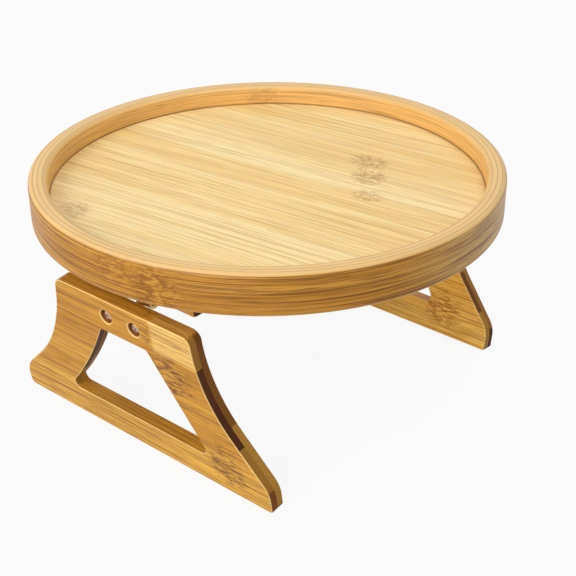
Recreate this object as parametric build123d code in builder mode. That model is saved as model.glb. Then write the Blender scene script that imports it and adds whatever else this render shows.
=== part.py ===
from build123d import *
from math import asin, atan2, cos, radians, sin, sqrt, tan
import os

# A round bamboo tray that clips over a sofa arm. Two boards hang from rails
# under the tray on sprung hinges and grip the arm between them.
# Frame: +Z up, +X across the arm, Y along the arm. The origin is on the floor,
# under the middle of the tray. All sizes are in millimetres.

# Tray
tray_diameter = 250.0
tray_height = 22.0
rim_width = 10.0
well_depth = 11.0
floor_thickness = 6.0
floor_gap = 0.15
tongue_thickness = 4.0
groove_depth = 4.0
groove_clearance = 0.2
rim_outer_round = 2.4
rim_inner_round = 3.0
rim_foot_round = 2.0
rim_foot_inner_round = 1.0

# Rails that carry the hinges
rail_length = 90.0
rail_width = 20.0
rail_drop = 10.0
rail_rim_gap = 1.7
rail_round = 1.0
rail_corner_round = 2.0
rail_screw_spacing = 70.0
rail_screw_diameter = 3.5
rail_screw_head_diameter = 7.0
rail_screw_length = 19.0
rail_screw_sink = 0.6

# Hinge
hinge_inset = 3.4
hinge_width = 30.0
pin_diameter = 2.5
pin_head_diameter = 4.2
pin_head_thickness = 0.9
pin_head_taper = 30.0
pin_clearance = 0.05
leaf_thickness = 1.0
leaf_length = 16.0
leaf_corner_round = 2.0
knuckle_board_gap = 0.35
knuckle_side_gap = 0.2
moving_knuckle_width = 4.0
notch_gap = 0.5
leaf_screw_spacing = 20.0
leaf_screw_inset = 10.5
leaf_screw_diameter = 2.6
leaf_screw_length = 11.0

# Torsion spring round the pin
wire_diameter = 1.2
spring_pin_gap = 0.3
spring_leaf_gap = 0.05
spring_side_gap = 1.25
spring_turns = 5
spring_pitch = 1.8
spring_arm_length = 8.5
hook_radius = 1.3
hook_tip_length = 0.2
hook_hole_diameter = 2.6
wire_gap_limit = 0.4
gap_samples = 4

# Legs
lean_angle = 8.5
leg_thickness = 8.5
leg_height = 91.4
leg_top_gap = 0.66
leg_round = 0.8
toe_neck = 49.0
toe_sweep_start = 5.0
toe_sweep_share = 0.465
toe_reach = 87.0
toe_knee_height = 12.9
toe_knee_round = 14.0
toe_corner_round = 5.0
toe_tip_round = 1.5
heel_neck = 46.6
heel_sweep_start = 6.0
heel_sweep_lead = 10.5
heel_sweep_share = 0.606
heel_reach = 93.8
heel_knee_height = 13.4
heel_knee_round = 16.0
heel_corner_round = 6.0
heel_tip_round = 3.2
window_top = 20.6
window_bottom = 74.0
window_toe_top = 16.0
window_toe_bottom = 48.5
window_heel_top = 16.4
window_heel_bottom = 54.5
window_heel_bow = 2.2
window_top_round = 1.5
window_toe_round = 3.4
window_heel_round = 3.0

# Screws and nuts that hold a leg to its hinge leaf
leg_screw_spacing = 19.6
leg_screw_depth = 10.4
leg_screw_diameter = 3.0
leg_screw_head_diameter = 6.2
leg_screw_head_height = 2.2
leg_screw_head_round = 0.8
leg_screw_tail = 0.3
counterbore_diameter = 7.8
counterbore_depth = 4.0
counterbore_bevel = 0.5
nut_across_flats = 5.5
nut_thickness = 2.4
thread_clearance = 0.05
hole_clearance = 0.1
seat_clearance = 0.03

# Angles that the forms share
half_turn = 180.0
quarter_turn = 90.0
full_turn = 360.0
countersink_angle = 90.0
hexagon_sides = 6

# Radii and places that follow from the sizes above
tray_radius = tray_diameter / 2
well_radius = tray_radius - rim_width
groove_radius = well_radius + groove_depth
pin_radius = pin_diameter / 2
wire_radius = wire_diameter / 2
coil_radius = pin_radius + spring_pin_gap + wire_radius
leaf_face = coil_radius + wire_radius + spring_leaf_gap
board_face = leaf_face + leaf_thickness
knuckle_radius = board_face - knuckle_board_gap
rail_outer_reach = sqrt((well_radius - rail_rim_gap) ** 2 - (rail_length / 2) ** 2)
axis_x = rail_outer_reach - hinge_inset

lean_cos = cos(radians(lean_angle))
lean_sin = sin(radians(lean_angle))
foot_round_lift = leg_round * (lean_cos + lean_sin - 1)
leg_outer_face = board_face + leg_thickness
leg_length = leg_top_gap + leg_height
axis_z = leg_length * lean_cos + leg_outer_face * lean_sin - foot_round_lift
rail_bottom = axis_z + board_face
tray_bottom = rail_bottom + rail_drop
tray_top = tray_bottom + tray_height
floor_top = tray_top - well_depth
floor_bottom = floor_top - floor_thickness
rail_height = floor_bottom - rail_bottom
rail_x = rail_outer_reach - rail_width / 2

# The spring turns clockwise seen from +Y, from the fixed leaf's arm to the leg's
arm_start = quarter_turn
arm_end = -lean_angle
coil_turning = spring_turns * full_turn + arm_start - arm_end
quarter_steps = round(coil_turning / quarter_turn)
step_turn = coil_turning / quarter_steps
coil_length = coil_turning / full_turn * spring_pitch
hook_middle = spring_arm_length + hook_radius - wire_radius / 2

# The knuckles stand beside the spring, and the outer ones take what is left of the hinge
spring_window = (coil_length + wire_diameter) / 2 + spring_side_gap
moving_knuckle_end = spring_window + moving_knuckle_width
moving_knuckle_y = moving_knuckle_end - moving_knuckle_width / 2
fixed_knuckle_width = hinge_width / 2 - moving_knuckle_end - knuckle_side_gap
fixed_notch_width = 2 * (moving_knuckle_end + knuckle_side_gap)
moving_notch_width = 2 * (hinge_width / 2 - moving_knuckle_end)
notch_reach = knuckle_radius + notch_gap
leaf_screw_x = axis_x - leaf_screw_inset
leaf_head_radius = leaf_screw_diameter / 2 + leaf_thickness * tan(radians(countersink_angle / 2))
leg_screw_drop = leg_top_gap + leg_screw_depth

# The right leg's plane: x to the heel, y up the board, z outwards, origin on the hinge axis
leg_plane = Plane(
    origin=(axis_x, 0, axis_z),
    x_dir=(0, 1, 0),
    z_dir=(lean_cos, 0, -lean_sin),
)
rail_plane = Plane.XY.offset(rail_bottom)
pin_plane = Plane(origin=(axis_x, 0, axis_z), x_dir=(1, 0, 0), z_dir=(0, -1, 0))

# How rectangles stand to the point that they are drawn from
up_and_out = (Align.MIN, Align.MIN)
from_axis = (Align.MAX, Align.CENTER)
below_axis = (Align.CENTER, Align.MAX)

os.makedirs("parts", exist_ok=True)


def keep(piece, label):
    """Label a finished piece and write it under its own name."""
    piece.label = label
    export_step(piece, f"parts/{label}.step")


def keep_pair(piece, name, mirrored=False):
    """Write a right-hand piece and its twin for the left side of the tray."""
    keep(piece, f"right_{name}")
    with BuildPart() as twin:
        if mirrored:
            mirror(piece, about=Plane.YZ)
        else:
            add(piece.rotate(Axis.Z, half_turn))
    keep(twin.part, f"left_{name}")


def round_corners(sketch, rounds):
    """Round a sketch's corners: pairs of a corner's place and its radius."""
    for corner, radius in rounds:
        fillet(sketch.vertices().sort_by_distance(corner)[0], radius)


# Rim: a ring of bent strips with a groove that holds the floor
rim_rounds = [
    (Vector(tray_radius, tray_top), rim_outer_round),
    (Vector(well_radius, tray_top), rim_inner_round),
    (Vector(tray_radius, tray_bottom), rim_foot_round),
    (Vector(well_radius, tray_bottom), rim_foot_inner_round),
]
with BuildPart() as tray_rim:
    with BuildSketch(Plane.XZ) as rim_section:
        with Locations((well_radius, tray_bottom)):
            Rectangle(rim_width, tray_height, align=up_and_out)
        round_corners(rim_section, rim_rounds)
        with Locations((well_radius, floor_bottom)):
            Rectangle(groove_depth, tongue_thickness, align=up_and_out, mode=Mode.SUBTRACT)
    revolve(axis=Axis.Z)
keep(tray_rim.part, "tray_rim")

# Floor: a round panel whose tongue sits in the rim's groove
rail_screw_places = [
    (side * rail_x, end * rail_screw_spacing / 2) for side in (-1, 1) for end in (-1, 1)
]
rail_screw_bite = rail_screw_length + rail_screw_sink - rail_height
with BuildPart() as tray_floor:
    with BuildSketch(Plane.XY.offset(floor_bottom)):
        Circle(groove_radius - groove_clearance)
    extrude(amount=tongue_thickness)
    with BuildSketch(Plane.XY.offset(floor_bottom)):
        Circle(well_radius - floor_gap)
    extrude(amount=floor_thickness)
    with BuildSketch(Plane.XY.offset(floor_bottom)):
        with Locations(rail_screw_places):
            Circle(rail_screw_diameter / 2 + thread_clearance)
    extrude(amount=rail_screw_bite + thread_clearance, mode=Mode.SUBTRACT)
keep(tray_floor.part, "tray_floor")

# Rail: a batten under the floor, drilled for its own screws and the hinge's
with BuildPart() as rail:
    with BuildSketch(rail_plane):
        with Locations((rail_x, 0)):
            RectangleRounded(rail_width, rail_length, rail_corner_round)
    extrude(amount=rail_height)
    fillet(rail.faces().sort_by(Axis.Z)[0].edges(), rail_round)
    with Locations(Plane(origin=(rail_x, 0, rail_bottom), z_dir=(0, 0, -1))):
        with GridLocations(0, rail_screw_spacing, 1, 2):
            CounterBoreHole(
                radius=rail_screw_diameter / 2 + hole_clearance,
                counter_bore_radius=rail_screw_head_diameter / 2 + hole_clearance,
                counter_bore_depth=rail_screw_sink,
            )
    with Locations(Plane(origin=(rail_x, 0, rail_bottom + rail_screw_sink), z_dir=(0, 0, -1))):
        with GridLocations(0, rail_screw_spacing, 1, 2):
            CounterSinkHole(
                radius=rail_screw_diameter / 2 + hole_clearance,
                counter_sink_radius=rail_screw_head_diameter / 2 + hole_clearance,
                counter_sink_angle=countersink_angle,
            )
    with Locations(Plane(origin=(leaf_screw_x, 0, rail_bottom), z_dir=(0, 0, -1))):
        with GridLocations(0, leaf_screw_spacing, 1, 2):
            Hole(leaf_screw_diameter / 2 + thread_clearance, depth=leaf_screw_length)
keep_pair(rail.part, "rail", mirrored=True)


def countersunk_screw(diameter, head_diameter, length, sink):
    """A countersunk screw along +Z, whose head's face lies above zero by the sink."""
    head_depth = (head_diameter - diameter) / 2 / tan(radians(countersink_angle / 2))
    tip = diameter / 2
    with BuildPart() as screw:
        with BuildSketch(Plane.XZ):
            with BuildLine():
                Polyline(
                    (0, sink),
                    (head_diameter / 2, sink),
                    (diameter / 2, sink + head_depth),
                    (diameter / 2, length + sink - tip),
                    (0, length + sink),
                    close=True,
                )
            make_face()
        revolve(axis=Axis.Z)
    return screw.part


# Rail screws: two countersunk screws a side, driven up into the floor
with BuildPart() as rail_screws:
    rail_screw = countersunk_screw(
        rail_screw_diameter, rail_screw_head_diameter, rail_screw_length, rail_screw_sink
    )
    with Locations(Plane(origin=(rail_x, 0, rail_bottom))):
        with GridLocations(0, rail_screw_spacing, 1, 2):
            add(rail_screw)
keep_pair(rail_screws.part, "rail_screws")

# Fixed leaf: screwed flat under the rail, with the two outer knuckles
with BuildPart() as fixed_leaf:
    with BuildSketch(rail_plane) as fixed_leaf_plan:
        with Locations((axis_x, 0)):
            Rectangle(leaf_length, hinge_width, align=from_axis)
            Rectangle(notch_reach, fixed_notch_width, align=from_axis, mode=Mode.SUBTRACT)
        back_corners = fixed_leaf_plan.vertices().group_by(Axis.X)[0]
        fillet(back_corners, leaf_corner_round)
    extrude(amount=-leaf_thickness)
    with BuildSketch(pin_plane.offset(-hinge_width / 2)):
        Circle(knuckle_radius)
    extrude(amount=fixed_knuckle_width)
    with BuildSketch(pin_plane.offset(hinge_width / 2)):
        Circle(knuckle_radius)
    extrude(amount=-fixed_knuckle_width)
    with BuildSketch(pin_plane):
        Circle(pin_radius + pin_clearance)
    extrude(amount=hinge_width, both=True, mode=Mode.SUBTRACT)
    with Locations(Plane(origin=(leaf_screw_x, 0, rail_bottom - leaf_thickness), z_dir=(0, 0, -1))):
        with GridLocations(0, leaf_screw_spacing, 1, 2):
            CounterSinkHole(
                radius=leaf_screw_diameter / 2 + seat_clearance,
                counter_sink_radius=leaf_head_radius + seat_clearance,
                counter_sink_angle=countersink_angle,
            )
    with Locations((axis_x - hook_middle, -coil_length / 2, rail_bottom)):
        Hole(hook_hole_diameter / 2, depth=leaf_thickness)
keep_pair(fixed_leaf.part, "fixed_leaf")

# Fixed leaf screws: two short countersunk screws a side, flush with the leaf
with BuildPart() as fixed_leaf_screws:
    leaf_screw = countersunk_screw(leaf_screw_diameter, 2 * leaf_head_radius, leaf_screw_length, 0)
    with Locations(Plane(origin=(leaf_screw_x, 0, rail_bottom - leaf_thickness))):
        with GridLocations(0, leaf_screw_spacing, 1, 2):
            add(leaf_screw)
keep_pair(fixed_leaf_screws.part, "fixed_leaf_screws")

# Pin: runs through all four knuckles, with a peened head at each end
with BuildPart() as hinge_pin:
    with BuildSketch(pin_plane):
        Circle(pin_radius)
    extrude(amount=hinge_width / 2, both=True)
    with BuildSketch(pin_plane.offset(hinge_width / 2)):
        Circle(pin_head_diameter / 2)
    extrude(amount=pin_head_thickness, taper=pin_head_taper)
    with BuildSketch(pin_plane.offset(-hinge_width / 2)):
        Circle(pin_head_diameter / 2)
    extrude(amount=-pin_head_thickness, taper=pin_head_taper)
keep_pair(hinge_pin.part, "hinge_pin")


def coil_point(step):
    """A point of the wire's centre line after some steps of the coil."""
    angle = radians(arm_start - step * step_turn)
    along = coil_length * (step / quarter_steps) - coil_length / 2
    return Vector(
        axis_x + coil_radius * cos(angle),
        along,
        axis_z + coil_radius * sin(angle),
    )


def coil_direction(step):
    """The wire's direction there: flat at both arms, and climbing between them."""
    angle = radians(arm_start - step * step_turn)
    climb = 0 if step in (0, quarter_steps) else coil_length
    turned = coil_radius * radians(coil_turning)
    return Vector(turned * sin(angle), climb, -turned * cos(angle)).normalized()


def biarc_joint(start, start_direction, end, end_direction):
    """The point where two tangent arcs meet that join two points and their directions."""
    chord = end - start
    both = start_direction + end_direction
    bend = 2 * (1 - start_direction.dot(end_direction))
    reach = (sqrt(chord.dot(both) ** 2 + bend * chord.dot(chord)) - chord.dot(both)) / bend
    return (start + start_direction * reach + end - end_direction * reach) / 2


def hook_path(face_direction, arm_direction, root):
    """One arm's points: where its bend starts and ends, and its tip, which points into the leaf."""
    bend_start = root + arm_direction * spring_arm_length
    bend_end = bend_start + arm_direction * hook_radius + face_direction * hook_radius
    tip = bend_end + face_direction * hook_tip_length
    return bend_start, bend_end, tip


up = Vector(0, 0, 1)
inwards = Vector(-1, 0, 0)
down_leg = Vector(-lean_sin, 0, -lean_cos)
out_of_leg = Vector(lean_cos, 0, -lean_sin)
coil_start = coil_point(0)
coil_stop = coil_point(quarter_steps)
fixed_bend_start, fixed_bend_end, fixed_tip = hook_path(up, inwards, coil_start)
moving_bend_start, moving_bend_end, moving_tip = hook_path(out_of_leg, down_leg, coil_stop)

# Torsion spring: arm, coil and arm in one wire
with BuildPart() as spring:
    with BuildLine() as spring_wire:
        Line(fixed_tip, fixed_bend_end)
        TangentArc(fixed_bend_end, fixed_bend_start, tangent=-up)
        Line(fixed_bend_start, coil_start)
        for step in range(quarter_steps):
            start = coil_point(step)
            end = coil_point(step + 1)
            joint = biarc_joint(start, coil_direction(step), end, coil_direction(step + 1))
            first_arc = TangentArc(start, joint, tangent=coil_direction(step))
            TangentArc(joint, end, tangent=first_arc % 1)
        Line(coil_stop, moving_bend_start)
        TangentArc(moving_bend_start, moving_bend_end, tangent=down_leg)
        Line(moving_bend_end, moving_tip)
    with BuildSketch(Plane(origin=fixed_tip, z_dir=-up)):
        Circle(wire_radius)
    sweep()
keep_pair(spring.part, "spring")


def least_gap(wire, diameter, apart):
    """The least gap between stretches of a wire that lie at least some length apart along it."""
    count = round(wire.length / diameter * gap_samples)
    points = [wire @ (index / count) for index in range(count + 1)]
    skipped = round(apart / wire.length * count)
    return min(
        (points[low] - points[high]).length - diameter
        for low in range(len(points))
        for high in range(low + skipped, len(points))
    )


spring_gap = least_gap(spring_wire.wires()[0], wire_diameter, coil_radius * radians(half_turn))
print(f"least gap of the spring's wire to itself: {spring_gap:.2f} mm, limit {wire_gap_limit} mm")

# Moving leaf: lies on the leg's inner face, with the two inner knuckles
with BuildPart() as moving_leaf:
    with BuildSketch(leg_plane.offset(leaf_face)) as moving_leaf_plan:
        Rectangle(hinge_width, leaf_length, align=below_axis)
        Rectangle(2 * spring_window, notch_reach, align=below_axis, mode=Mode.SUBTRACT)
        with Locations((-hinge_width / 2, 0), (hinge_width / 2, 0)):
            Rectangle(moving_notch_width, notch_reach, align=below_axis, mode=Mode.SUBTRACT)
        fillet(moving_leaf_plan.vertices().group_by(Axis.Y)[0], leaf_corner_round)
    extrude(amount=leaf_thickness)
    for side in (-1, 1):
        with BuildSketch(pin_plane.offset(side * moving_knuckle_y - moving_knuckle_width / 2)):
            Circle(knuckle_radius)
        extrude(amount=moving_knuckle_width)
    with BuildSketch(pin_plane):
        Circle(pin_radius + pin_clearance)
    extrude(amount=hinge_width, both=True, mode=Mode.SUBTRACT)
    with Locations(leg_plane.offset(board_face)):
        with Locations((0, -leg_screw_drop)):
            with GridLocations(leg_screw_spacing, 0, 2, 1):
                Hole(leg_screw_diameter / 2 + hole_clearance, depth=leaf_thickness)
        with Locations((coil_length / 2, -hook_middle)):
            Hole(hook_hole_diameter / 2, depth=leaf_thickness)
keep_pair(moving_leaf.part, "moving_leaf")


def sweep_end(neck, way, knee, share):
    """The end of an arc from the neck, tangent there to the way and at its end to the knee's slope.

    Its two tangents meet in a corner, and the near one has this share of the way on to the knee.
    """
    along = (knee - neck).dot(way)
    bend = 1 / share**2 - 1
    tangent_length = (sqrt(along**2 + bend * (knee - neck).length ** 2) - along) / bend
    corner = neck + way * tangent_length
    return corner + (knee - corner).normalized() * tangent_length


toe_top = Vector(-toe_neck, -leg_top_gap)
toe_start = Vector(-toe_neck, -leg_top_gap - toe_sweep_start)
toe_way = Vector(0, -1)
toe_knee = Vector(-toe_reach, toe_knee_height - leg_length)
toe_end = sweep_end(toe_start, toe_way, toe_knee, toe_sweep_share)
toe_tip = Vector(-toe_reach, -leg_length)
heel_way = Vector(sin(radians(heel_sweep_lead)), -cos(radians(heel_sweep_lead)))
heel_top = Vector(heel_neck - heel_sweep_start * tan(radians(heel_sweep_lead)), -leg_top_gap)
heel_start = Vector(heel_neck, -leg_top_gap - heel_sweep_start)
heel_knee = Vector(heel_reach, heel_knee_height - leg_length)
heel_end = sweep_end(heel_start, heel_way, heel_knee, heel_sweep_share)
heel_tip = Vector(heel_reach, -leg_length)
window_corners = [
    Vector(window_heel_top, -leg_top_gap - window_top),
    Vector(-window_toe_top, -leg_top_gap - window_top),
    Vector(-window_toe_bottom, -leg_top_gap - window_bottom),
    Vector(window_heel_bottom, -leg_top_gap - window_bottom),
]
window_slope = window_corners[3] - window_corners[0]
window_inwards = Vector(window_slope.Y, -window_slope.X).normalized()
window_bow_point = (window_corners[0] + window_corners[3]) / 2 + window_inwards * window_heel_bow
leg_rounds = [
    (toe_top, toe_corner_round),
    (heel_top, heel_corner_round),
    (toe_knee, toe_knee_round),
    (heel_knee, heel_knee_round),
    (toe_tip, toe_tip_round),
    (heel_tip, heel_tip_round),
]
window_rounds = [
    (window_corners[0], window_top_round),
    (window_corners[1], window_top_round),
    (window_corners[2], window_toe_round),
    (window_corners[3], window_heel_round),
]

# Leg: a flat board with swept sides, a long foot and a window, drilled for its screws
with BuildPart() as leg:
    with BuildSketch(leg_plane.offset(board_face)) as leg_outline:
        with BuildLine():
            Polyline(toe_start, toe_top, heel_top, heel_start)
            TangentArc(heel_start, heel_end, tangent=heel_way)
            Polyline(heel_end, heel_knee, heel_tip, toe_tip, toe_knee, toe_end)
            TangentArc(toe_start, toe_end, tangent=toe_way)
        make_face()
        round_corners(leg_outline, leg_rounds)
    extrude(amount=leg_thickness)
    with BuildSketch(leg_plane.offset(board_face)) as window_outline:
        with BuildLine():
            Polyline(*window_corners)
            ThreePointArc(window_corners[3], window_bow_point, window_corners[0])
        make_face()
        round_corners(window_outline, window_rounds)
    extrude(amount=leg_thickness, mode=Mode.SUBTRACT)
    fillet(leg.faces().filter_by(leg_plane).edges(), leg_round)
    with Locations(leg_plane.offset(leg_outer_face)):
        with Locations((0, -leg_screw_drop)):
            with GridLocations(leg_screw_spacing, 0, 2, 1):
                CounterBoreHole(
                    radius=leg_screw_diameter / 2 + hole_clearance,
                    counter_bore_radius=counterbore_diameter / 2,
                    counter_bore_depth=counterbore_depth,
                )
    mouths = leg.edges().filter_by(GeomType.CIRCLE).filter_by(
        lambda edge: abs(edge.radius - counterbore_diameter / 2) < seat_clearance
    )
    chamfer(mouths.sort_by(Axis(leg_plane.origin, leg_plane.z_dir))[-2:], counterbore_bevel)
keep_pair(leg.part, "leg", mirrored=True)

# Leg screws: round-headed, sunk in the counterbores, their tails just past the nuts
head_seat = leg_outer_face - counterbore_depth
tail_end = leaf_face - nut_thickness - leg_screw_tail
with BuildPart() as leg_screws:
    for side in (-1, 1):
        with BuildSketch(leg_plane.offset(head_seat)):
            with Locations((side * leg_screw_spacing / 2, -leg_screw_drop)):
                Circle(leg_screw_head_diameter / 2)
        extrude(amount=leg_screw_head_height)
        with BuildSketch(leg_plane.offset(head_seat)):
            with Locations((side * leg_screw_spacing / 2, -leg_screw_drop)):
                Circle(leg_screw_diameter / 2)
        extrude(amount=tail_end - head_seat)
    head_edges = leg_screws.edges().filter_by(GeomType.CIRCLE)
    outer_edges = head_edges.sort_by(Axis(leg_plane.origin, leg_plane.z_dir))[-2:]
    fillet(outer_edges, leg_screw_head_round)
keep_pair(leg_screws.part, "leg_screws")

# Leg nuts: two hexagon nuts a side, tight against the moving leaf
with BuildPart() as leg_nuts:
    with BuildSketch(leg_plane.offset(leaf_face)):
        with Locations((0, -leg_screw_drop)):
            with GridLocations(leg_screw_spacing, 0, 2, 1):
                RegularPolygon(nut_across_flats / 2, hexagon_sides, major_radius=False)
                Circle(leg_screw_diameter / 2 + thread_clearance, mode=Mode.SUBTRACT)
    extrude(amount=-nut_thickness)
keep_pair(leg_nuts.part, "leg_nuts")
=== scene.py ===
"""The looks of a round bamboo tray that clips over a sofa arm.

Sizes are in millimetres until a mesh is made. The frame is the CAD model's: +Z up, +X across
the arm, Y along it, and the origin on the ground under the middle of the tray.
"""

import logging
from abc import ABC, abstractmethod
from collections.abc import Callable, Iterable, Sequence
from dataclasses import dataclass, field
from enum import Enum
from math import atan2, ceil, cos, pi, radians, sin, sqrt, tan

import bmesh
import bpy
from mathutils import Matrix, Vector


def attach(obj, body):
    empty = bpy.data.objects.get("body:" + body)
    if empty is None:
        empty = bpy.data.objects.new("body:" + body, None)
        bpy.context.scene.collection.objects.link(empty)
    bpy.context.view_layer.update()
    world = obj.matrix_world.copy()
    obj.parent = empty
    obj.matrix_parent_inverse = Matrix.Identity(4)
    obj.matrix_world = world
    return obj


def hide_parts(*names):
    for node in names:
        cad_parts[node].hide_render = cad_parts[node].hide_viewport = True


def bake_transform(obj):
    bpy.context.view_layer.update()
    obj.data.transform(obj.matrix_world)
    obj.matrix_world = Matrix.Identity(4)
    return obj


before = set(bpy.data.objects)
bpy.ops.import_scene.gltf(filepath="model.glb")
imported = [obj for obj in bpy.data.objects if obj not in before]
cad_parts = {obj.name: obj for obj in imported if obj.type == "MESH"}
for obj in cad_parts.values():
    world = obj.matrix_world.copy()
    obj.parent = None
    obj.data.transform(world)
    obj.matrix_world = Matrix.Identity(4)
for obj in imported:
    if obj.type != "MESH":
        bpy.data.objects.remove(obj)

log = logging.getLogger("arm_tray")

MM = 0.001
FULL_TURN = 2 * pi

Colour = tuple[float, float, float, float]
Point = tuple[float, float, float]
Socket = bpy.types.NodeSocket
Input = Socket | float | tuple


def srgb(red: float, green: float, blue: float) -> Colour:
    """Turn a display colour of 0 to 255 into the linear colour that a shader takes.

    Args:
        red: Red, 0 to 255.
        green: Green, 0 to 255.
        blue: Blue, 0 to 255.

    Returns:
        The linear colour with full alpha.
    """
    linear = []
    for channel in (red, green, blue):
        share = channel / 255
        linear.append(share / 12.92 if share <= 0.04045 else ((share + 0.055) / 1.055) ** 2.4)
    return (*linear, 1.0)


class Side(Enum):
    """The two sides of the sofa arm that a clamp can stand on."""

    LEFT = -1
    RIGHT = 1

    @property
    def label(self) -> str:
        """The side's word in the names of nodes and pieces."""
        return self.name.lower()

    @property
    def clamp(self) -> str:
        """The name of the body that swings on this side."""
        return f"{self.label}_clamp"


TRAY_BODY = "tray_body"


class Slot(Enum):
    """The record's material slots that the pieces made here take."""

    RIM_BAMBOO = "rim_bamboo"
    HINGE_STEEL = "hinge_steel"
    FASTENER_STEEL = "fastener_steel"
    SPRING_STEEL = "spring_steel"


# Shader graphs


class Graph:
    """A shader tree that is wired by calls: each method adds a node and gives its output."""

    def __init__(self, tree: bpy.types.NodeTree) -> None:
        """Keep the tree.

        Args:
            tree: The node tree to add to.
        """
        self.tree = tree

    def add(self, kind: str, **settings: object) -> bpy.types.Node:
        """Add a node.

        Args:
            kind: The node's type name.
            **settings: Properties to set on it.

        Returns:
            The node.
        """
        node = self.tree.nodes.new(kind)
        for name, value in settings.items():
            setattr(node, name, value)
        return node

    def feed(self, socket: Socket, value: Input) -> None:
        """Link another node's output to a socket, or set the socket's own value.

        Args:
            socket: The input to feed.
            value: An output socket, or a plain value.
        """
        if isinstance(value, bpy.types.NodeSocket):
            self.tree.links.new(value, socket)
        else:
            socket.default_value = value

    def math(self, operation: str, *values: Input) -> Socket:
        """Work out a number.

        Args:
            operation: The maths node's operation.
            *values: Its inputs in order.

        Returns:
            The result.
        """
        node = self.add("ShaderNodeMath", operation=operation)
        for socket, value in zip(node.inputs, values):
            self.feed(socket, value)
        return node.outputs[0]

    def vector(self, operation: str, *values: Input, scale: Input = 1.0) -> Socket:
        """Work out a vector, or the number that a dot product or a length gives.

        Args:
            operation: The vector maths node's operation.
            *values: Its vector inputs in order.
            scale: The factor of the SCALE operation.

        Returns:
            The result.
        """
        node = self.add("ShaderNodeVectorMath", operation=operation)
        for socket, value in zip(node.inputs, values):
            self.feed(socket, value)
        if operation == "SCALE":
            self.feed(node.inputs["Scale"], scale)
        number = operation in ("DOT_PRODUCT", "LENGTH")
        return node.outputs["Value" if number else "Vector"]

    def product(self, *values: Input) -> Input:
        """Multiply numbers.

        Args:
            *values: The numbers, one or more.

        Returns:
            Their product.
        """
        result = values[0]
        for value in values[1:]:
            result = self.math("MULTIPLY", result, value)
        return result

    def spread(self, value: Input, reach: float) -> Socket:
        """Turn a number around one half into one around zero, and scale it."""
        return self.math("MULTIPLY", self.math("SUBTRACT", value, 0.5), reach)

    def combine(self, x: Input, y: Input, z: Input) -> Socket:
        """Join three numbers into a vector.

        Args:
            x: The first number.
            y: The second number.
            z: The third number.

        Returns:
            The vector.
        """
        node = self.add("ShaderNodeCombineXYZ")
        for socket, value in zip(node.inputs, (x, y, z)):
            self.feed(socket, value)
        return node.outputs[0]

    def split(self, vector: Input) -> tuple[Socket, Socket, Socket]:
        """Part a vector into its three numbers.

        Args:
            vector: The vector.

        Returns:
            Its X, Y and Z.
        """
        node = self.add("ShaderNodeSeparateXYZ")
        self.feed(node.inputs[0], vector)
        return node.outputs[0], node.outputs[1], node.outputs[2]

    def ramp(self, value: Input, low: float, high: float) -> Socket:
        """Rise smoothly from 0 to 1 between two values, or fall where low is above high.

        Args:
            value: The number to judge.
            low: Where the result is 0.
            high: Where the result is 1.

        Returns:
            The smooth step.
        """
        node = self.add("ShaderNodeMapRange", interpolation_type="SMOOTHSTEP")
        falls = low > high
        self.feed(node.inputs["Value"], value)
        self.feed(node.inputs["From Min"], min(low, high))
        self.feed(node.inputs["From Max"], max(low, high))
        self.feed(node.inputs["To Min"], 1.0 if falls else 0.0)
        self.feed(node.inputs["To Max"], 0.0 if falls else 1.0)
        return node.outputs["Result"]

    def noise(self, place: Input, w: Input, detail: float = 2.0, distortion: float = 0.0) -> Socket:
        """Sample smooth noise of four dimensions.

        Args:
            place: The point, in units of the noise's own cells.
            w: The fourth coordinate.
            detail: How many finer layers are added.
            distortion: How much the pattern is bent by itself.

        Returns:
            A number around one half.
        """
        node = self.add("ShaderNodeTexNoise", noise_dimensions="4D")
        self.feed(node.inputs["Vector"], place)
        self.feed(node.inputs["W"], w)
        self.feed(node.inputs["Scale"], 1.0)
        self.feed(node.inputs["Detail"], detail)
        self.feed(node.inputs["Distortion"], distortion)
        return node.outputs[0]

    def chance(self, place: Input) -> Socket:
        """Draw a fixed random number for a place.

        Args:
            place: The vector that picks the number.

        Returns:
            A number from 0 to 1.
        """
        node = self.add("ShaderNodeTexWhiteNoise", noise_dimensions="3D")
        self.feed(node.inputs["Vector"], place)
        return node.outputs["Value"]

    def mix(self, factor: Input, low: Input, high: Input) -> Socket:
        """Mix two colours.

        Args:
            factor: The share of the second colour.
            low: The first colour.
            high: The second colour.

        Returns:
            The mixed colour.
        """
        node = self.add("ShaderNodeMix", data_type="RGBA")
        factor_in, first_colour, second_colour, colour_out = 0, 6, 7, 2
        self.feed(node.inputs[factor_in], factor)
        self.feed(node.inputs[first_colour], low)
        self.feed(node.inputs[second_colour], high)
        return node.outputs[colour_out]

    def wash(self, colour: Input, over: Colour, *shares: Input) -> Socket:
        """Lay a colour over another, as far as the product of masks and shares says.

        Args:
            colour: The colour so far.
            over: The colour to lay over it.
            *shares: The masks and shares.

        Returns:
            The washed colour.
        """
        return self.mix(self.product(*shares), colour, over)

    def place_mm(self) -> Socket:
        """The point on the piece in millimetres."""
        coordinates = self.add("ShaderNodeTexCoord")
        return self.vector("SCALE", coordinates.outputs["Object"], scale=1 / MM)

    def normal(self) -> Socket:
        """The surface's direction in the piece's own frame."""
        return self.add("ShaderNodeTexCoord").outputs["Normal"]

    def bump(self, height: Input, depth_mm: float) -> Socket:
        """Raise the surface's shading by a height.

        Args:
            height: The height as a share of the depth.
            depth_mm: The depth of the relief.

        Returns:
            The bent normal.
        """
        node = self.add("ShaderNodeBump")
        node.inputs["Strength"].default_value = 1.0
        node.inputs["Distance"].default_value = depth_mm * MM
        self.feed(node.inputs["Height"], height)
        return node.outputs["Normal"]


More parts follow.
